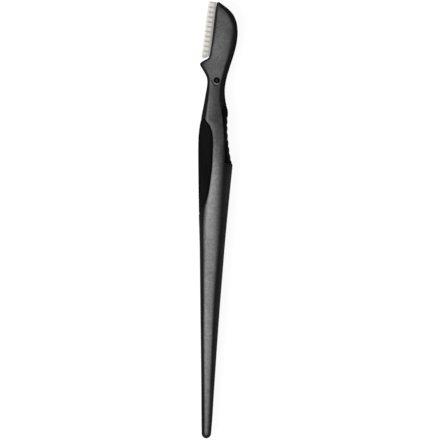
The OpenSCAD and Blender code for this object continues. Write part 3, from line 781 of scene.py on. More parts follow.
class MeshBuilder:
    """Makes meshes from grids of rings and cuts them, all in millimetres until they are placed."""

    MERGE, MERGE_CUT = 2e-4, 1e-4
    TURN_POINTS = 97
    SHARP = 32.0

    def __init__(self, sizes: Sizes) -> None:
        """Keeps the sizes that place a mesh in the frame."""
        self.sizes = sizes

    def mesh(self, name: str, points: Array, faces: list[Array]) -> bpy.types.Object:
        """Makes an object from points and faces, and merges points that meet.

        Args:
            name: name of the object.
            points: rows of (x, y, z).
            faces: arrays of corner numbers, one face to a row.

        Returns:
            The object, linked to the scene.
        """
        data = bpy.data.meshes.new(name)
        sides = np.concatenate([np.full(len(f), f.shape[1]) for f in faces])
        corners = np.concatenate([f.ravel() for f in faces])
        data.vertices.add(len(points))
        data.vertices.foreach_set("co", points.astype(np.float32).ravel())
        data.loops.add(len(corners))
        data.loops.foreach_set("vertex_index", corners.astype(np.int32))
        data.polygons.add(len(sides))
        starts = np.concatenate(([0], np.cumsum(sides)[:-1]))
        data.polygons.foreach_set("loop_start", starts.astype(np.int32))
        data.update(calc_edges=True)
        obj = bpy.data.objects.new(name, data)
        bpy.context.scene.collection.objects.link(obj)
        self.merge(obj, self.MERGE)
        return obj

    def merge(self, obj: bpy.types.Object, distance: float) -> None:
        """Merges points that meet, drops faces without area and turns all faces outwards.

        Args:
            obj: the object.
            distance: how near two points meet.
        """
        shape = bmesh.new()
        shape.from_mesh(obj.data)
        bmesh.ops.remove_doubles(shape, verts=shape.verts[:], dist=distance)
        bmesh.ops.dissolve_degenerate(shape, dist=distance, edges=shape.edges[:])
        bmesh.ops.recalc_face_normals(shape, faces=shape.faces[:])
        shape.to_mesh(obj.data)
        shape.free()

    def rings(self, name: str, grid: Array, whole: bool = False) -> bpy.types.Object:
        """Makes a closed solid from a row of closed rings: a quad between each pair of neighbours
        on neighbouring rings, and one flat face on each end unless the last ring joins the first.

        Args:
            name: name of the object.
            grid: rings by columns by (x, y, z).
            whole: whether the last ring joins the first.

        Returns:
            The object.
        """
        a = np.arange(grid.shape[0] * grid.shape[1]).reshape(grid.shape[:2])
        ends = [] if whole else [a[:1, ::-1], a[-1:]]
        a = np.vstack((a, a[:1])) if whole else a
        b = np.roll(a, -1, axis=1)
        quads = np.stack((a[:-1], a[1:], b[1:], b[:-1]), axis=2).reshape(-1, 4)
        return self.mesh(name, grid.reshape(-1, 3), [quads, *ends])

    def loft(self, name: str, y: Array, rings: Array) -> bpy.types.Object:
        """Makes a closed solid through closed rings of (x, z), each at its place along the razor."""
        places = np.broadcast_to(y[:, None], rings.shape[:2])
        return self.rings(name, np.stack((rings[..., 0], places, rings[..., 1]), axis=2))

    def prism(self, name: str, outline: Array, low: float, high: float) -> bpy.types.Object:
        """Makes a prism over an outline of (x, y), from a lower to an upper height."""
        rings = [np.column_stack((outline, np.full(len(outline), z))) for z in (low, high)]
        return self.rings(name, np.stack(rings))

    def turned(self, name: str, profile: list[tuple[float, float]], start: float = 0.0,
               end: float = 360.0) -> bpy.types.Object:
        """Makes a solid by turning a closed profile round the neck pin's axis.

        Args:
            name: name of the object.
            profile: rows of (radius, z).
            start: angle at which the turn starts, in degrees.
            end: angle at which it ends.

        Returns:
            The object.
        """
        whole = end - start >= 360
        angles = np.radians(np.linspace(start, end, self.TURN_POINTS, endpoint=not whole))[:, None]
        radius, height = np.array(profile, float).T
        x, y = np.cos(angles) * radius, self.sizes.y_pin + np.sin(angles) * radius
        grid = np.stack((x, y, np.broadcast_to(height, x.shape)), axis=2)
        return self.rings(name, grid, whole)

    def cut(self, obj: bpy.types.Object, cutters: list[bpy.types.Object]) -> None:
        """Cuts solids out of an object exactly, and deletes the cutters.

        Args:
            obj: the object that is cut.
            cutters: the solids to remove from it.
        """
        for cutter in cutters:
            step = obj.modifiers.new("cut", "BOOLEAN")
            step.operation, step.solver, step.object = "DIFFERENCE", "EXACT", cutter
            bpy.context.view_layer.update()
            result = obj.evaluated_get(bpy.context.evaluated_depsgraph_get())
            data = bpy.data.meshes.new_from_object(result)
            obj.modifiers.remove(step)
            obj.data = data
            bpy.data.objects.remove(cutter)
        self.merge(obj, self.MERGE_CUT)

    def place(self, obj: bpy.types.Object) -> None:
        """Moves a finished mesh into the frame, in metres, and shades it smooth but for its
        sharp edges.

        Args:
            obj: the object, whose mesh is in millimetres.
        """
        data = obj.data
        co = coordinates(data)
        co[:, 1] -= self.sizes.y_tip / 2
        co[:, 2] += self.sizes.mid_z
        data.vertices.foreach_set("co", (co * MM).ravel())
        data.polygons.foreach_set("use_smooth", np.ones(len(data.polygons), bool))
        data.set_sharp_from_angle(angle=math.radians(self.SHARP))
        data.update()


class Nodes:
    """A node tree under construction."""

    def __init__(self, tree: bpy.types.NodeTree) -> None:
        """Empties the tree."""
        self.tree = tree
        self.tree.nodes.clear()

    def add(self, kind: str, **settings: object) -> bpy.types.Node:
        """Adds a node.

        Args:
            kind: the node's type.
            settings: properties of the node, or values of its inputs by name with _ for spaces.

        Returns:
            The node.
        """
        node = self.tree.nodes.new(kind)
        for key, value in settings.items():
            if hasattr(node, key):
                setattr(node, key, value)
            else:
                node.inputs[key.replace("_", " ")].default_value = value
        return node

    def link(self, source: Socket, target: Socket) -> None:
        """Joins two sockets."""
        self.tree.links.new(source, target)

    def maths(self, operation: str, *values: float | Socket) -> Socket:
        """A sum of numbers.

        Args:
            operation: the kind of sum.
            values: its numbers or their sockets.

        Returns:
            The socket of the result.
        """
        node = self.add("ShaderNodeMath", operation=operation)
        for target, value in zip(node.inputs, values):
            if isinstance(value, Socket):
                self.link(value, target)
            else:
                target.default_value = value
        return node.outputs[0]

    def seen(self) -> Socket:
        """The socket of a 1 for rays of the camera and of gloss, and a 0 for others."""
        path = self.add("ShaderNodeLightPath")
        return self.maths("MAXIMUM", path.outputs["Is Camera Ray"], path.outputs["Is Glossy Ray"])


class Shader(Nodes):
    """A material under construction: a Principled surface and the nodes that feed it."""

    NOISE_SPAN = (0.3, 0.7)

    def __init__(self, name: str) -> None:
        """Makes the material and its surface."""
        self.material = bpy.data.materials.new(name)
        self.material.use_nodes = True
        super().__init__(self.material.node_tree)
        self.surface = self.add("ShaderNodeBsdfPrincipled")
        self.link(self.surface.outputs["BSDF"], self.add("ShaderNodeOutputMaterial").inputs["Surface"])

    def finished(self, colour: Socket, rough: Socket | float, **values: object) -> bpy.types.Material:
        """Joins the colour and the roughness to the surface, and sets its constant values on the
        surface's own sockets.

        Args:
            colour: the socket of the colour.
            rough: the roughness or its socket.
            values: other values, by name with _ for spaces.

        Returns:
            The material.
        """
        self.link(colour, self.surface.inputs["Base Color"])
        if isinstance(rough, Socket):
            self.link(rough, self.surface.inputs["Roughness"])
        else:
            self.surface.inputs["Roughness"].default_value = rough
        for key, value in values.items():
            self.surface.inputs[key.replace("_", " ")].default_value = value
        return self.material

    def place(self, stretch: Triple = (1, 1, 1), turn: float = 0.0,
              origin: tuple[float, float] = (0, 0)) -> Socket:
        """Coordinates on the object.

        Args:
            stretch: how many times finer a pattern is along each axis.
            turn: turn about the upright axis, in radians.
            origin: the point, after stretching, at which the coordinates are zero.

        Returns:
            The socket of the coordinates.
        """
        x = origin[0] * math.cos(turn) - origin[1] * math.sin(turn)
        y = origin[0] * math.sin(turn) + origin[1] * math.cos(turn)
        mapping = self.add("ShaderNodeMapping", Scale=stretch, Rotation=(0, 0, turn),
                           Location=(-x, -y, 0))
        self.link(self.add("ShaderNodeTexCoord").outputs["Object"], mapping.inputs["Vector"])
        return mapping.outputs["Vector"]

    def from_edge(self, sizes: Sizes) -> tuple[Socket, Socket]:
        """Places beside the head's straight edge.

        Args:
            sizes: the razor's sizes.

        Returns:
            The sockets of the distance outwards from the edge and of the place up it, in mm.
        """
        corner = (-sizes.edge_base_x, sizes.edge_y - sizes.y_tip / 2)
        where = self.place((MM**-1, MM**-1, MM**-1), math.radians(sizes.edge_lean), corner)
        axes = self.add("ShaderNodeSeparateXYZ")
        self.link(where, axes.inputs[0])
        return self.maths("MULTIPLY", axes.outputs["X"], -1.0), axes.outputs["Y"]

    def noise(self, where: Socket, scale: float, detail: float = 2.0, roughness: float = 0.5) -> Socket:
        """Cloudy noise from 0 to 1.

        Args:
            where: coordinates.
            scale: patches to a metre.
            detail: number of finer layers.
            roughness: strength of the finer layers.

        Returns:
            The socket of the noise.
        """
        node = self.add("ShaderNodeTexNoise", Scale=scale, Detail=detail, Roughness=roughness)
        self.link(where, node.inputs["Vector"])
        return node.outputs["Fac"]

    def between(self, value: Socket, low: float, high: float, start: float, end: float) -> Socket:
        """Carries a range of a value over to another range, clamped.

        Args:
            value: the socket that is read.
            low: its value that becomes start.
            high: its value that becomes end.
            start: result at low.
            end: result at high.

        Returns:
            The socket of the result.
        """
        node = self.add("ShaderNodeMapRange", From_Min=low, From_Max=high, To_Min=start, To_Max=end)
        self.link(value, node.inputs["Value"])
        return node.outputs["Result"]

    def varied(self, noise: Socket, low: float, high: float) -> Socket:
        """Carries the range that noise takes over to another range."""
        return self.between(noise, *self.NOISE_SPAN, low, high)

    def blend(self, factor: Socket, dark: Triple | Socket, light: Triple) -> Socket:
        """A colour between two, by a factor from 0 to 1.

        Args:
            factor: the socket that chooses.
            dark: colour at 0, or its socket.
            light: colour at 1.

        Returns:
            The socket of the colour.
        """
        node = self.add("ShaderNodeMix", data_type="RGBA")
        choice, first, second = node.inputs[0], node.inputs[6], node.inputs[7]
        if isinstance(dark, Socket):
            self.link(dark, first)
        else:
            first.default_value = (*dark, 1)
        second.default_value = (*light, 1)
        self.link(factor, choice)
        return node.outputs[2]

    def times(self, colour: Socket, *factors: Socket) -> Socket:
        """A colour multiplied by factors.

        Args:
            colour: the socket of the colour.
            factors: the sockets of the factors.

        Returns:
            The socket of the result.
        """
        for factor in factors:
            node = self.add("ShaderNodeVectorMath", operation="SCALE")
            self.link(colour, node.inputs[0])
            self.link(factor, node.inputs["Scale"])
            colour = node.outputs["Vector"]
        return colour

    def tone(self) -> Socket:
        """The socket of the mesh's tone attribute."""
        return self.add("ShaderNodeAttribute", attribute_name="tone").outputs["Fac"]

    def bump(self, height: Socket, depth: float, strength: float) -> None:
        """Roughens the surface with a height pattern.

        Args:
            height: the socket of the height, from 0 to 1.
            depth: how far 1 stands above 0, in millimetres.
            strength: share of the effect.
        """
        node = self.add("ShaderNodeBump", Strength=strength, Distance=depth * MM)
        self.link(height, node.inputs["Height"])
        self.link(node.outputs["Normal"], self.surface.inputs["Normal"])


@dataclass(frozen=True)
class MouldedPlastic:
    """Black moulded plastic whose flat faces are spark-textured to a charcoal grey, while its
    bevels and walls stay smooth and dark. The mesh's tone attribute says how light it is, and
    holds painted light and shade: the faces' grey is partly painted light, and the walls are
    darker with painted shade. Each pattern has its patches to a metre, and the shares of the
    colour at its low and high values."""

    name: str = "moulded_plastic"
    darkest: Triple = (0.0, 0.0, 0.0)
    lightest: Triple = (0.5, 0.499, 0.5)
    lightest_tone: float = 0.5
    grain: Triple = (2600, 0.84, 1.17)
    mottle: Triple = (1150, 0.83, 1.18)
    cloud: Triple = (300, 0.94, 1.06)
    rim_roughness: float = 0.5
    face_roughness: float = 0.65
    face_tone: float = 0.1
    specular: float = 0.03
    relief: float = 0.012

    def make(self) -> bpy.types.Material:
        """Builds the material.

        Returns:
            The material.
        """
        shader = Shader(self.name)
        tone, where = shader.tone(), shader.place()
        grain = shader.noise(where, self.grain[0], 3, 0.6)
        mottle = shader.noise(where, self.mottle[0], 2, 0.55)
        cloud = shader.noise(where, self.cloud[0])
        grey = shader.between(tone, 0, self.lightest_tone, 0, 1)
        colour = shader.times(
            shader.blend(grey, self.darkest, self.lightest), shader.varied(grain, *self.grain[1:]),
            shader.varied(mottle, *self.mottle[1:]), shader.varied(cloud, *self.cloud[1:]))
        rough = shader.between(tone, 0, self.face_tone, self.rim_roughness, self.face_roughness)
        shader.bump(grain, self.relief, 0.6)
        return shader.finished(colour, rough, Specular_IOR_Level=self.specular)


@dataclass(frozen=True)
class SoftTouch:
    """Soft black elastomer with faint streaks along the razor and a fine matt grain. The mesh's
    tone attribute falls to 0 at its borders, which are darker with painted shade."""

    name: str = "soft_touch"
    dark: Triple = (0.002, 0.002, 0.002)
    light: Triple = (0.0052, 0.0052, 0.005)
    # Share of the colour left at the borders: painted shade.
    border: float = 0.1
    streak_stretch: Triple = (1, 0.06, 1)
    streak_scale: float = 1500.0
    streak_span: tuple[float, float] = (0.35, 0.65)
    grain: Triple = (4200, 0.9, 1.1)
    roughness: tuple[float, float] = (0.49, 0.63)
    specular: float = 0.02
    relief: float = 0.008

    def make(self) -> bpy.types.Material:
        """Builds the material.

        Returns:
            The material.
        """
        shader = Shader(self.name)
        streaks = shader.noise(shader.place(self.streak_stretch), self.streak_scale, 2, 0.55)
        grain = shader.noise(shader.place(), self.grain[0])
        # The tone paints shade on the pad's borders.
        colour = shader.times(
            shader.blend(shader.between(streaks, *self.streak_span, 0, 1), self.dark, self.light),
            shader.varied(grain, *self.grain[1:]), shader.between(shader.tone(), 0, 1, self.border, 1))
        rough = shader.varied(streaks, *self.roughness)
        shader.bump(grain, self.relief, 0.6)
        return shader.finished(colour, rough, Specular_IOR_Level=self.specular)


@dataclass(frozen=True)
class Steel:
    """What the steels share: a fine grain along the head's straight edge."""

    sizes: Sizes
    name: str
    roughness: tuple[float, float]
    contrast: tuple[float, float]
    grain_scale: float = 2400.0
    grain_stretch: Triple = (1, 0.12, 1)
    relief: float = 0.004

    def coated(self, shader: Shader, colour: Socket) -> bpy.types.Material:
        """Finishes a steel in a colour, with its grain.

        Args:
            shader: the material under construction.
            colour: the socket of the colour.

        Returns:
            The material.
        """
        where = shader.place(self.grain_stretch, math.radians(self.sizes.edge_lean))
        lines = shader.noise(where, self.grain_scale, 2, 0.6)
        shader.bump(lines, self.relief, 0.5)
        return shader.finished(shader.times(colour, shader.varied(lines, *self.contrast)),
                               shader.varied(lines, *self.roughness), Metallic=1.0)


@dataclass(frozen=True)
class HonedSteel(Steel):
    """Stainless steel of the blade: a satin flat with a grain along the edge, and a brighter
    ground bevel, which starts within a share of its width."""

    name: str = "blade_steel"
    roughness: tuple[float, float] = (0.15, 0.26)
    contrast: tuple[float, float] = (0.95, 1.05)
    flat: Triple = (0.675, 0.66, 0.617)
    ground: Triple = (0.745, 0.73, 0.69)
    start: float = 0.3

    def make(self) -> bpy.types.Material:
        """Builds the material.

        Returns:
            The material.
        """
        s, shader = self.sizes, Shader(self.name)
        out, _ = shader.from_edge(s)
        inner = s.blade_reach - s.grind_w
        bevel = shader.between(out, inner, inner + self.start * s.grind_w, 0, 1)
        return self.coated(shader, shader.blend(bevel, self.flat, self.ground))


@dataclass(frozen=True)
class StampedGuard(Steel):
    """Satin steel of the guard. It carries painted shade where it leaves the head, each finger
    below the topmost is darker than the rail with painted shade, and the folded tips carry a
    painted highlight. The fades run between shares of a size, but the start of the shade at the
    head and top_fade are lengths."""

    name: str = "guard_steel"
    roughness: tuple[float, float] = (0.29, 0.4)
    contrast: tuple[float, float] = (0.93, 1.07)
    rail: Triple = (0.49, 0.476, 0.446)
    # Painted shade on the fingers.
    finger_shade: Triple = (0.385, 0.373, 0.35)
    # Painted highlight on the folded tips.
    fold: Triple = (0.76, 0.74, 0.7)
    # Painted shade where the guard leaves the head.
    contact_shade: float = 0.62
    contact_shade_start: float = 0.1
    contact_shade_end: float = 0.9
    finger_fade: tuple[float, float] = (0.42, 0.75)
    root_fade: tuple[float, float] = (0.35, 0.8)
    fold_fade: tuple[float, float] = (0.67, 0.95)
    top_fade: float = 0.2
    cloud: Triple = (420, 0.35, 0.65)
    cloud_depth: float = 0.8

    def make(self) -> bpy.types.Material:
        """Builds the material.

        Returns:
            The material.
        """
        s, shader = self.sizes, Shader(self.name)
        out, up = shader.from_edge(s)
        pitch = s.finger_pitch
        steps = shader.maths("MULTIPLY_ADD", up, 1 / pitch, 0.5 - s.first_finger / pitch)
        aside = shader.maths("ABSOLUTE", shader.maths("SUBTRACT", shader.maths("FRACT", steps), 0.5))
        last = s.first_finger + (s.window_count - 0.5) * pitch
        # Painted shade on each finger below the topmost.
        depth = shader.between(aside, *(f * s.finger_w / pitch for f in self.finger_fade), 1, 0)
        for factor in (shader.between(out, *(f * s.rail_w for f in self.root_fade), 0, 1),
                       shader.between(up, last, last + self.top_fade, 1, 0),
                       shader.between(shader.noise(shader.place(), self.cloud[0]), *self.cloud[1:],
                                      self.cloud_depth, 1)):
            depth = shader.maths("MULTIPLY", depth, factor)
        # Painted highlight on the folded tips.
        tip = shader.between(out, *(f * s.guard_reach for f in self.fold_fade), 0, 1)
        # Painted shade where the guard leaves the head.
        near = shader.between(out, self.contact_shade_start, self.contact_shade_end * s.rail_w, self.contact_shade, 1)
        colour = shader.blend(tip, shader.blend(depth, self.rail, self.finger_shade), self.fold)
        return self.coated(shader, shader.times(colour, near))


@dataclass(frozen=True)
class PlainPlastic:
    """Smooth black plastic of the small inner pieces, with a faint flow pattern."""

    name: str
    colour: Triple
    roughness: tuple[float, float]
    specular: float = 0.2
    flow_stretch: Triple = (1, 0.3, 1)
    flow_scale: float = 900.0
    flow_light: float = 1.25
    relief: float = 0.004

    def make(self) -> bpy.types.Material:
        """Builds the material.

        Returns:
            The material.
        """
        shader = Shader(self.name)
        flow = shader.noise(shader.place(self.flow_stretch), self.flow_scale)
        light = tuple(self.flow_light * c for c in self.colour)
        colour, rough = shader.blend(flow, self.colour, light), shader.varied(flow, *self.roughness)
        shader.bump(flow, self.relief, 0.4)
        return shader.finished(colour, rough, Specular_IOR_Level=self.specular)


def places(obj: bpy.types.Object, sizes: Sizes) -> tuple[Array, Array]:
    """Reads where a placed mesh's points lie.

    Args:
        obj: the object, whose mesh is in metres.
        sizes: the razor's sizes.

    Returns:
        The points' distances from the axis and their places along the razor, in millimetres.
    """
    co = coordinates(obj.data) / MM
    return co[:, 0], co[:, 1] + sizes.y_tip / 2


def paint(obj: bpy.types.Object, material: bpy.types.Material, tone: Array | None = None) -> None:
    """Gives a mesh its material, and its tone attribute at every point if it has one.

    Args:
        obj: the object.
        material: the material, which reads the attribute.
        tone: the value at each point.
    """
    if tone is not None:
        values = obj.data.attributes.new("tone", "FLOAT", "POINT").data
        values.foreach_set("value", tone.astype(np.float32))
    obj.data.materials.clear()
    obj.data.materials.append(material)


@dataclass
class Moulding:
    """What the handle and the head cover share: the body's surface, the spaces inside the head
    and the finish."""

    sizes: Sizes
    outline: Outline
    softness: Softness
    builder: MeshBuilder
    tone: Tone
    face_columns: int = 24
    chin_share: float = 0.36
    crown_share: float = 0.8
    head_rings: tuple[int, ...] = (70, 40, 50)
    slot_beyond: float = 1.0
    arc_points: int = 65
    tab_points: int = 121

    def dress(self, obj: bpy.types.Object, material: bpy.types.Material) -> None:
        """Gives a placed moulding its finish, with the tone of the body's surface, which holds painted
        light and shade.
        """
        paint(obj, material, self.tone.at(*places(obj, self.sizes)))

    def head_stretches(self, low: float) -> list[tuple[float, float, int]]:
        """The head's rings from a place near the pin to the tip, closer together at chin and crown.

        Args:
            low: the lowest place.

        Returns:
            The lower and the upper end of each stretch and its number of rings.
        """
        s = self.sizes
        chin, crown = s.y_pin + self.chin_share * s.head_l, s.y_pin + self.crown_share * s.head_l
        return list(zip((low, chin, crown), (chin, crown, s.y_tip), self.head_rings))

    def from_edge(self, points: list[tuple[float, float]]) -> Array:
        """Turns points beside the head's straight edge into the plane of the face.

        Args:
            points: rows of (distance into the head, place up the edge).

        Returns:
            Rows of (x, y).
        """
        s = self.sizes
        lean, rows = math.radians(s.edge_lean), np.array(points, float)
        x = rows[:, 0] * math.cos(lean) + rows[:, 1] * math.sin(lean) - s.edge_base_x
        y = rows[:, 1] * math.cos(lean) - rows[:, 0] * math.sin(lean) + s.edge_y
        return np.column_stack((x, y))

    def inner_spaces(self, bore: float) -> list[bpy.types.Object]:
        """The pocket of the blade carrier and its tang, the slot of blade and guard in the head's
        edge, and the pin's bore.

        Args:
            bore: radius of the bore.

        Returns:
            The solids to cut out.
        """
        s, g = self.sizes, self.sizes.carrier_gap
        near, wide = s.carrier_setback - g, s.carrier_w + g
        foot, roof = s.carrier_low - g, s.carrier_high + g
        low, right, clipped, top, corner = self.from_edge([
            (near, foot), (wide, foot), (wide, s.carrier_high - s.carrier_corner),
            (s.carrier_w - s.carrier_corner, roof), (near, roof)])
        r = s.tang_w / 2 + g
        slope = (right[1] - low[1]) / (right[0] - low[0])
        joints = [[side * r, low[1] + (side * r - low[0]) * slope] for side in (-1, 1)]
        arc = circle(r, self.arc_points, s.y_pin, -math.pi, math.pi)
        outline = np.vstack((low, joints[0], arc, joints[1], right, clipped, top, corner))
        foot, roof = s.carrier_low + s.carrier_wall - g, s.carrier_high - s.carrier_wall + g
        out, deep = -self.slot_beyond, s.carrier_setback + self.slot_beyond
        slot = self.from_edge([(out, foot), (deep, foot), (deep, roof), (out, roof)])
        half, leaf = s.carrier_t / 2 + g, s.stack_half + g
        return [self.builder.prism("pocket", outline, -half, half),
                self.builder.prism("slot", slot, -leaf, leaf),
                self.builder.prism("bore", circle(bore, self.arc_points, s.y_pin)[:-1],
                                   s.pin_floor - s.head_half, 2 * s.head_half)]

    def tab_outline(self) -> Array:
        """The cover's lower end seen from the front: straight shoulders and a round tab about
        the pin, closed by a box below.

        Returns:
            Rows of (x, y) round the space below the cover.
        """
        s = self.sizes
        start = math.asin(s.shoulder_rise / s.cover_end_r)
        arc = circle(s.cover_end_r, self.tab_points, s.y_pin, start, -math.pi - 2 * start)
        wide, high, low = 2 * s.head_reach, s.shoulder_y, s.y_pin - 3 * s.cover_end_r
        return np.vstack(([[wide, high]], arc, [[-wide, high], [-wide, low], [wide, low]]))


@dataclass
class HandleMoulding(Moulding):
    """The handle: shank, grip with the pockets of the pads, neck, chin and the head's rear cheek."""

    pad_gap: float = 0.1
    fit: float = 0.03
    lip: float = 0.14
    clear: float = 0.04
    rest_share: float = 0.3
    run_out: float = 4.0
    no_border: float = 9.0
    edge_columns: int = 7
    facet_columns: int = 14
    pocket_columns: int = 9
    seat_points: int = 129
    groove_arc: tuple[float, float] = (236.0, 296.0)
    groove_flare: float = 1.4
    body_rings: tuple[int, ...] = (14, 90, 60, 66, 26, 40)

    def segments(self) -> tuple[Array, Array, Array, Array]:
        """The places of the handle's rings. Each stretch between two steps has both its ends,
        so that a step has two rings at one place.

        Returns:
            The places, and for each whether it is in the thumb pocket, in the strip's pocket
            and behind the cover.
        """
        s = self.sizes
        shoulder = s.shoulder_y - s.seam
        steps = (0, s.tail_round, s.y_grip, s.strip_y, s.y_neck, s.strip_end, shoulder)
        stretches = zip(steps, steps[1:], self.body_rings)
        rows = []
        for low, high, count in (*stretches, *self.head_stretches(shoulder)):
            middle = (low + high) / 2
            rows.append(np.column_stack((
                np.linspace(low, high, count), np.full(count, s.y_grip < middle < s.y_neck),
                np.full(count, s.strip_y < middle < s.strip_end), np.full(count, middle > shoulder))))
        y, pad, strip, covered = np.vstack(rows).T
        return y, pad > 0, strip > 0, covered > 0

    def beyond(self, y: Array, low: float, high: float) -> Array:
        """Rises from 0 in a stretch of the razor to 1 a few millimetres away from it."""
        return smooth_step(0, self.run_out, np.maximum(low - y, y - high))

    def build(self) -> bpy.types.Object:
        """Builds the handle. Each ring runs over the front, round the strip's pocket, over the
        rear and round the thumb pocket. In a pocket the surface is pushed in and the back is cut
        to its flat land. Behind the cover the front is cut off at the parting plane, with its
        columns spread evenly across.

        Returns:
            The object, in millimetres.
        """
        s, n = self.sizes, self.pocket_columns
        y, pad, strip, covered = self.segments()
        skin = Skin(self.outline, self.softness, y)
        wall, crease, far_crease, far_wall = skin.wall, skin.crease, skin.far_crease, skin.far_wall
        thumb = np.minimum(skin.pad_border(self.pad_gap), crease - self.clear / skin.girth)
        back = np.maximum(skin.strip_border(self.pad_gap), far_crease + self.clear / skin.girth)
        rest = (1 - self.rest_share) * crease + self.rest_share * wall
        far_rest = (1 - self.rest_share) * far_crease + self.rest_share * far_wall
        thumb += (rest - thumb) * self.beyond(y, s.y_grip, s.y_neck)
        back += (far_rest - back) * self.beyond(y, s.strip_y, s.strip_end)
        front = spans([(thumb, crease, self.edge_columns), (crease, far_crease, self.face_columns),
                       (far_crease, back, self.facet_columns)])
        far = spans([(back, far_wall, n), (far_wall, 1 - far_wall, self.edge_columns),
                     (1 - far_wall, 1 - back, n)])
        near = spans([(1 - thumb, 1 - wall, n), (1 - wall, 1 + wall, self.edge_columns),
                      (1 + wall, 1 + thumb, n)])
        border = np.minimum(front - thumb[:, None] + self.no_border * ~pad[:, None],
                            back[:, None] - front + self.no_border * ~strip[:, None])
        lip = rounding(border * skin.girth[:, None], self.lip)
        ring = np.concatenate((
            inward(skin.at(front), lip), inward(skin.at(far), s.pad_t * strip[:, None] + 0 * far),
            inward(skin.at(1 - front[:, ::-1]), lip[:, ::-1]),
            inward(skin.at(near), s.pad_t * pad[:, None] + 0 * near)), axis=1)
        ring[..., 1] = np.maximum(ring[..., 1], -s.mid_z)
        way = np.mod(np.concatenate((front, far, 1 - front[:, ::-1], near), axis=1), 1.0)
        ends = skin.at(np.tile([0.0, 0.5], (len(y), 1)))[..., 0]
        flat = covered[:, None] & (way > TINY) & (way < 0.5 - TINY)
        across = ends[:, :1] + (ends[:, 1:] - ends[:, :1]) * 2 * way
        ring = np.where(flat[..., None], np.stack((across, 0 * across), axis=2), ring)
        obj = self.builder.loft("handle_moulding", y, ring)
        self.builder.cut(obj, self.cutters())
        return obj

    def cutters(self) -> list[bpy.types.Object]:
        """The spaces cut into the handle's neck for the cover's round tab and for the groove
        along the lower part of its seam, and the spaces inside.

        Returns:
            The solids to cut out.
        """
        s = self.sizes
        tab, inner = s.cover_end_r + self.fit, (s.cover_end_r + self.fit) / 2
        deep = s.head_half - s.seam_depth / 2
        seat = self.builder.prism("seat", circle(tab, self.seat_points, s.y_pin)[:-1], 0, s.grip_half)
        ledge = self.builder.turned("ledge", [
            (inner, deep), (tab + self.clear, deep),
            (s.cover_end_r + s.seam_w, s.head_half - self.fit),
            (s.cover_end_r + self.groove_flare * s.seam_w, s.grip_half), (inner, s.grip_half)],
            *self.groove_arc)
        return [seat, ledge, *self.inner_spaces(s.pin_r)]


@dataclass
class HeadCover(Moulding):
    """The head cover: the front cheek of the head, down to a round tab about the neck pin. The
    mouth is the profile of the recess's rim, as (radius beyond the recess, height over the face)."""

    mouth: tuple[tuple[float, float], ...] = ((0.0, -0.07), (0.04, -0.02), (0.09, 0.001))
    floor_inset: float = 0.03
    bevel_beyond: float = 1.0
    foot_reach: float = 1.3
    foot_end: float = 1.0
    foot_rings: int = 30
    edge_columns: int = 5
    blade_columns: int = 12
    back_columns: int = 16
    base_step: int = 4

    def build(self) -> bpy.types.Object:
        """Builds the cover as the front half of the body over the parting plane, cut to its
        lower end, with the pin's recess and the bevel round the tab.

        Returns:
            The object, in millimetres.
        """
        s = self.sizes
        foot, start = s.y_pin - self.foot_reach * s.cover_end_r, s.y_pin + self.foot_end
        stretches = [(foot, start, self.foot_rings), *self.head_stretches(start)]
        y = np.concatenate([np.linspace(*row)[:-1] for row in stretches] + [[s.y_tip]])
        skin = Skin(self.outline, self.softness, y)
        half = spans([
            (0 * y, skin.wall, self.edge_columns), (skin.wall, skin.crease, self.blade_columns),
            (skin.crease, skin.far_crease, self.face_columns),
            (skin.far_crease, skin.far_wall, self.back_columns),
            (skin.far_wall, 0 * y + 0.5, self.edge_columns)])
        ring = skin.at(half)
        ring[..., 1] = np.maximum(ring[..., 1], 0)
        base = ring[:, -2:0:-self.base_step] * np.array([1, 0])
        obj = self.builder.loft("head_cover_shell", y, np.concatenate((ring, base), axis=1))
        self.builder.cut(obj, self.cutters())
        return obj

    def cutters(self) -> list[bpy.types.Object]:
        """The space below the cover's lower end, the pin's recess with its softened mouth, the
        bevel round the tab and the spaces inside.

        Returns:
            The solids to cut out.
        """
        s, far = self.sizes, self.bevel_beyond
        top, floor, hole = s.head_half, s.head_half - s.recess_depth, s.recess_r
        below = self.builder.prism("below", self.tab_outline(), -s.grip_half, 2 * s.grip_half)
        recess = self.builder.turned("recess", [
            (0, floor), (hole - self.floor_inset, floor),
            *((hole + out, top + up) for out, up in self.mouth),
            (hole + self.mouth[-1][0], s.grip_half), (0, s.grip_half)])
        out, rim = s.cover_end_r + far, s.cover_end_r - s.cover_end_bevel
        bevel = self.builder.turned("bevel", [
            (out, top - s.cover_end_bevel - far), (out, s.grip_half), (rim - far, top + far)], 180, 360)
        return [below, recess, bevel, *self.inner_spaces(s.pin_r + s.pin_gap)]


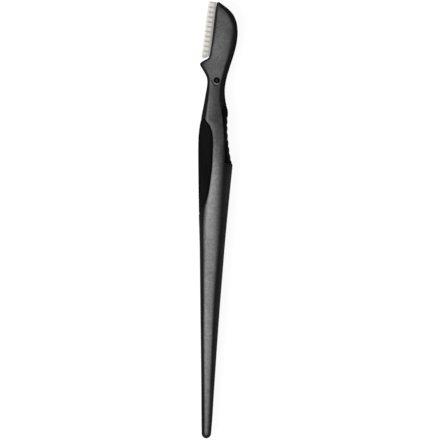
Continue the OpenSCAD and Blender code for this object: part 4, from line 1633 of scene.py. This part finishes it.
@dataclass
class SoftPad:
    """A soft pad let into the body: a shell with rounded borders that fills its pocket."""

    sizes: Sizes
    outline: Outline
    softness: Softness
    builder: MeshBuilder
    side: Side
    edge_radius: float = 0.4
    end_gap: float = 0.05
    end_steps: tuple[float, ...] = (0, 0.02, 0.05, 0.1, 0.17, 0.26)
    end_l: float = 0.45
    overlap: float = 0.02
    fit: float = 0.03
    border_w: float = 1.2
    edge_w: tuple[float, float] = (0.15, 0.7)
    thumb_grid: tuple[int, int] = (110, 22)
    strip_grid: tuple[int, int] = (150, 18)
    wall_columns: int = 9
    inner_step: int = 3

    def ribs(self, y: Array) -> Array:
        """Depth of the grooves across the ribbed strip: a power of a cosine round each one.

        Args:
            y: places along the razor.

        Returns:
            The depth at each place.
        """
        s = self.sizes
        u = (y - s.groove_y) / s.groove_pitch
        inside = (u > -0.5) & (u < s.groove_count - 0.5)
        return np.where(inside, s.groove_depth * ((1 + np.cos(2 * np.pi * u)) / 2) ** 1.5, 0)

    def build(self, name: str) -> bpy.types.Object:
        """Builds the pad. Its outer surface lies a little under the body's, and drops in a
        quarter circle at its borders and ends. Its inner surface is the pocket's.

        Args:
            name: name of the object.

        Returns:
            The object, in millimetres.
        """
        s, blade = self.sizes, self.side is Side.BLADE
        low, high = (s.y_grip, s.y_neck) if blade else (s.strip_y, s.strip_end)
        rows, columns = self.thumb_grid if blade else self.strip_grid
        ends = np.array(self.end_steps)
        middle = np.linspace(low + self.end_l, high - self.end_l, rows)
        y = np.concatenate((low + self.end_gap + ends, middle, high - self.end_gap - ends[::-1]))
        skin = Skin(self.outline, self.softness, y)
        if blade:
            border = skin.pad_border(-self.overlap)
            start, first, second, end = 1 - border, 1 - skin.wall, 1 + skin.wall, 1 + border
            sink = s.pad_sink + 0 * y
        else:
            border = skin.strip_border(-self.overlap)
            start, first, second, end = border, skin.far_wall, 1 - skin.far_wall, 1 - border
            sink = self.ribs(y) + self.overlap
        way = spans([(start, first, columns), (first, second, self.wall_columns),
                     (second, end, columns)])
        near = np.minimum(way - start[:, None], end[:, None] - way) * skin.girth[:, None]
        stop = np.minimum(y - low - self.end_gap, high - self.end_gap - y)[:, None]
        outer = inward(skin.at(way), sink[:, None] + rounding(np.minimum(near, stop), self.edge_radius))
        back = way[:, ::-self.inner_step]
        inner = inward(skin.at(back), s.pad_t - self.fit + 0 * back)
        return self.builder.loft(name, y, np.concatenate((outer, inner), axis=1))

    def dress(self, obj: bpy.types.Object, material: bpy.types.Material) -> None:
        """Gives a placed pad its finish, with painted shade at its borders.

        Args:
            obj: the placed object.
            material: the soft plastic.
        """
        x, y = places(obj, self.sizes)
        o = self.outline
        if self.side is Side.BLADE:
            inwards, left = x + o.blade_edge.at(y), -o.blade_crease.at(y) - x
        else:
            inwards, left = o.back_edge.at(y) - x, x - o.back_crease.at(y)
        # Painted shade: darker towards the pad's outer edge and towards its border beside the face.
        paint(obj, material, smooth_step(*self.edge_w, inwards) * smooth_step(0, self.border_w, left))


@dataclass
class NeckPin:
    """The pin in the neck: a shaft with a head whose steep cone ends in a small flat."""

    sizes: Sizes
    builder: MeshBuilder
    flat_r: float = 0.38
    softening: float = 0.05
    fit: float = 0.005

    def build(self) -> bpy.types.Object:
        """Turns the pin's profile once round.

        Returns:
            The object, in millimetres.
        """
        s, e = self.sizes, self.softening
        foot, seat = s.pin_floor - s.head_half, s.head_half - s.recess_depth
        top, shaft, head = seat + s.pin_head_t, s.pin_r - self.fit, s.pin_head_r
        return self.builder.turned("pin_in_neck", [
            (0, foot), (s.pin_r - 2 * e, foot), (s.pin_r - e, foot + e), (shaft, foot + 3 * e),
            (shaft, seat), (head - e, seat), (head, seat + e), (head, seat + 2 * e),
            (head - e, seat + 3 * e), (self.flat_r + 2 * e, top - 1.5 * e),
            (self.flat_r + e, top - 0.5 * e), (self.flat_r, top), (0, top)])

    def dress(self, obj: bpy.types.Object) -> None:
        """Gives the pin its finish."""
        paint(obj, PlainPlastic("pin_plastic", (0.003, 0.003, 0.003), (0.32, 0.41)).make())


@dataclass
class Steelwork:
    """The pieces that keep the solids' own shape: blade, guard and carrier."""

    nodes: dict[str, bpy.types.Object]
    sizes: Sizes

    def dress(self) -> None:
        """Gives each of them its finish."""
        finishes = {
            "guard": StampedGuard(self.sizes),
            "blade": HonedSteel(self.sizes),
            "blade_carrier": PlainPlastic("carrier_plastic", (0.012, 0.012, 0.012), (0.46, 0.55)),
        }
        for node, finish in finishes.items():
            paint(self.nodes[node], finish.make())
            LOG.info("%s keeps its solid's shape", node)


@dataclass
class Studio:
    """A pale floor, a soft light over the camera and a plain pale surrounding."""

    sizes: Sizes
    lens: float = 150.0
    sensor: float = 36.0
    frame_width: float = 151.36
    centre: tuple[float, float] = (2.515, 0.223)
    roll: float = 1.70
    floor_half: float = 6.0
    floor_grey: Triple = (0.42, 0.42, 0.42)
    floor_seen: Triple = (0.12, 0.12, 0.12)
    floor_glow: float = 0.93
    lamp_tilt: float = 48.0
    lamp_turn: float = 215.0
    lamp_distance: float = 1.1
    lamp_size: float = 0.8
    lamp_power: float = 13.0
    fill: float = 0.3
    clip: tuple[float, float] = (0.01, 10.0)

    @staticmethod
    def hang(name: str, data: bpy.types.ID, location: Triple, turn: Triple) -> bpy.types.Object:
        """Puts a camera, a lamp or a mesh into the scene.

        Args:
            name: name of the object.
            data: what it holds.
            location: where it is, in metres.
            turn: its turns about the three axes, in radians.

        Returns:
            The object.
        """
        obj = bpy.data.objects.new(name, data)
        obj.location, obj.rotation_euler = location, turn
        bpy.context.scene.collection.objects.link(obj)
        return obj

    def camera(self) -> None:
        """Hangs the camera straight over the razor, turned so that it leans as photographed."""
        data = bpy.data.cameras.new("camera")
        data.lens, data.sensor_width = self.lens, self.sensor
        data.clip_start, data.clip_end = self.clip
        height = self.sizes.mid_z + self.frame_width * self.lens / self.sensor
        location = (self.centre[0] * MM, self.centre[1] * MM, height * MM)
        bpy.context.scene.camera = self.hang("camera", data, location, (0, 0, math.radians(self.roll)))

    def floor(self) -> None:
        """Lays a wide pale floor. It looks white to the camera and in gloss, and is darker to
        diffuse light, so that it throws little light on the razor's sides."""
        h = self.floor_half
        data = bpy.data.meshes.new("floor")
        data.from_pydata([(-h, -h, 0), (h, -h, 0), (h, h, 0), (-h, h, 0)], [], [(0, 1, 2, 3)])
        obj = self.hang("floor", data, (0, 0, 0), (0, 0, 0))
        shader = Shader("floor_paper")
        seen = shader.seen()
        glow = shader.between(seen, 0, 1, 0, self.floor_glow)
        shader.link(glow, shader.surface.inputs["Emission Strength"])
        data.materials.append(shader.finished(shader.blend(seen, self.floor_grey, self.floor_seen), 1.0,
                                              Specular_IOR_Level=0.0, Emission_Color=WHITE))

    def light(self) -> None:
        """Hangs a wide soft lamp above the camera, a little to the blade's side, and lights the
        rest evenly. What the camera and gloss see around the razor is white."""
        lamp = bpy.data.lights.new("soft_box", "AREA")
        lamp.shape, lamp.size, lamp.energy = "DISK", self.lamp_size, self.lamp_power
        tilt, turn = math.radians(self.lamp_tilt), math.radians(self.lamp_turn)
        across, up = self.lamp_distance * math.sin(tilt), self.lamp_distance * math.cos(tilt)
        location = (across * math.cos(turn), across * math.sin(turn), up)
        self.hang("soft_box", lamp, location, (0, tilt, turn))
        world = bpy.data.worlds.new("surrounding")
        bpy.context.scene.world = world
        world.use_nodes = True
        nodes = Nodes(world.node_tree)
        mix, output = nodes.add("ShaderNodeMixShader"), nodes.add("ShaderNodeOutputWorld")
        nodes.link(nodes.seen(), mix.inputs["Fac"])
        for target, strength in ((mix.inputs[1], self.fill), (mix.inputs[2], 1.0)):
            back = nodes.add("ShaderNodeBackground", Color=WHITE, Strength=strength)
            nodes.link(back.outputs[0], target)
        nodes.link(mix.outputs[0], output.inputs["Surface"])


def report(obj: bpy.types.Object) -> None:
    """Logs a piece's name and number of faces."""
    LOG.info("%s: %d faces", obj.name, len(obj.data.polygons))


def main() -> None:
    """Builds every piece, puts it on the body and sets up the studio."""
    logging.basicConfig(level=logging.INFO, format="%(name)s: %(message)s")
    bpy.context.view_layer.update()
    sizes = Sizes()
    outline, softness, builder = Outline(sizes), Softness.moulded(sizes), MeshBuilder(sizes)
    tone = Tone.textured(outline)
    plastic_material, soft_material = MouldedPlastic().make(), SoftTouch().make()
    studio = Studio(sizes)
    studio.camera()
    studio.floor()
    studio.light()

    for kind, node in ((HandleMoulding, "handle"), (HeadCover, "head_cover")):
        moulding = kind(sizes, outline, softness, builder, tone)
        obj = moulding.build()
        builder.place(obj)
        moulding.dress(obj, plastic_material)
        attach(obj, BODY)
        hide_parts(node)
        report(obj)

    for side, name, node in ((Side.BLADE, "thumb_pad", "thumb_grip"),
                             (Side.BACK, "ribbed_strip", "rear_grip")):
        pad = SoftPad(sizes, outline, softness, builder, side)
        obj = pad.build(name)
        builder.place(obj)
        pad.dress(obj, soft_material)
        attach(obj, BODY)
        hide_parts(node)
        report(obj)

    pin = NeckPin(sizes, builder)
    obj = pin.build()
    builder.place(obj)
    pin.dress(obj)
    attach(obj, BODY)
    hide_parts("neck_pin")
    report(obj)

    Steelwork(frame["nodes"], sizes).dress()
    bpy.context.scene.view_settings.view_transform = "Standard"


if __name__ == "__main__":
    main()
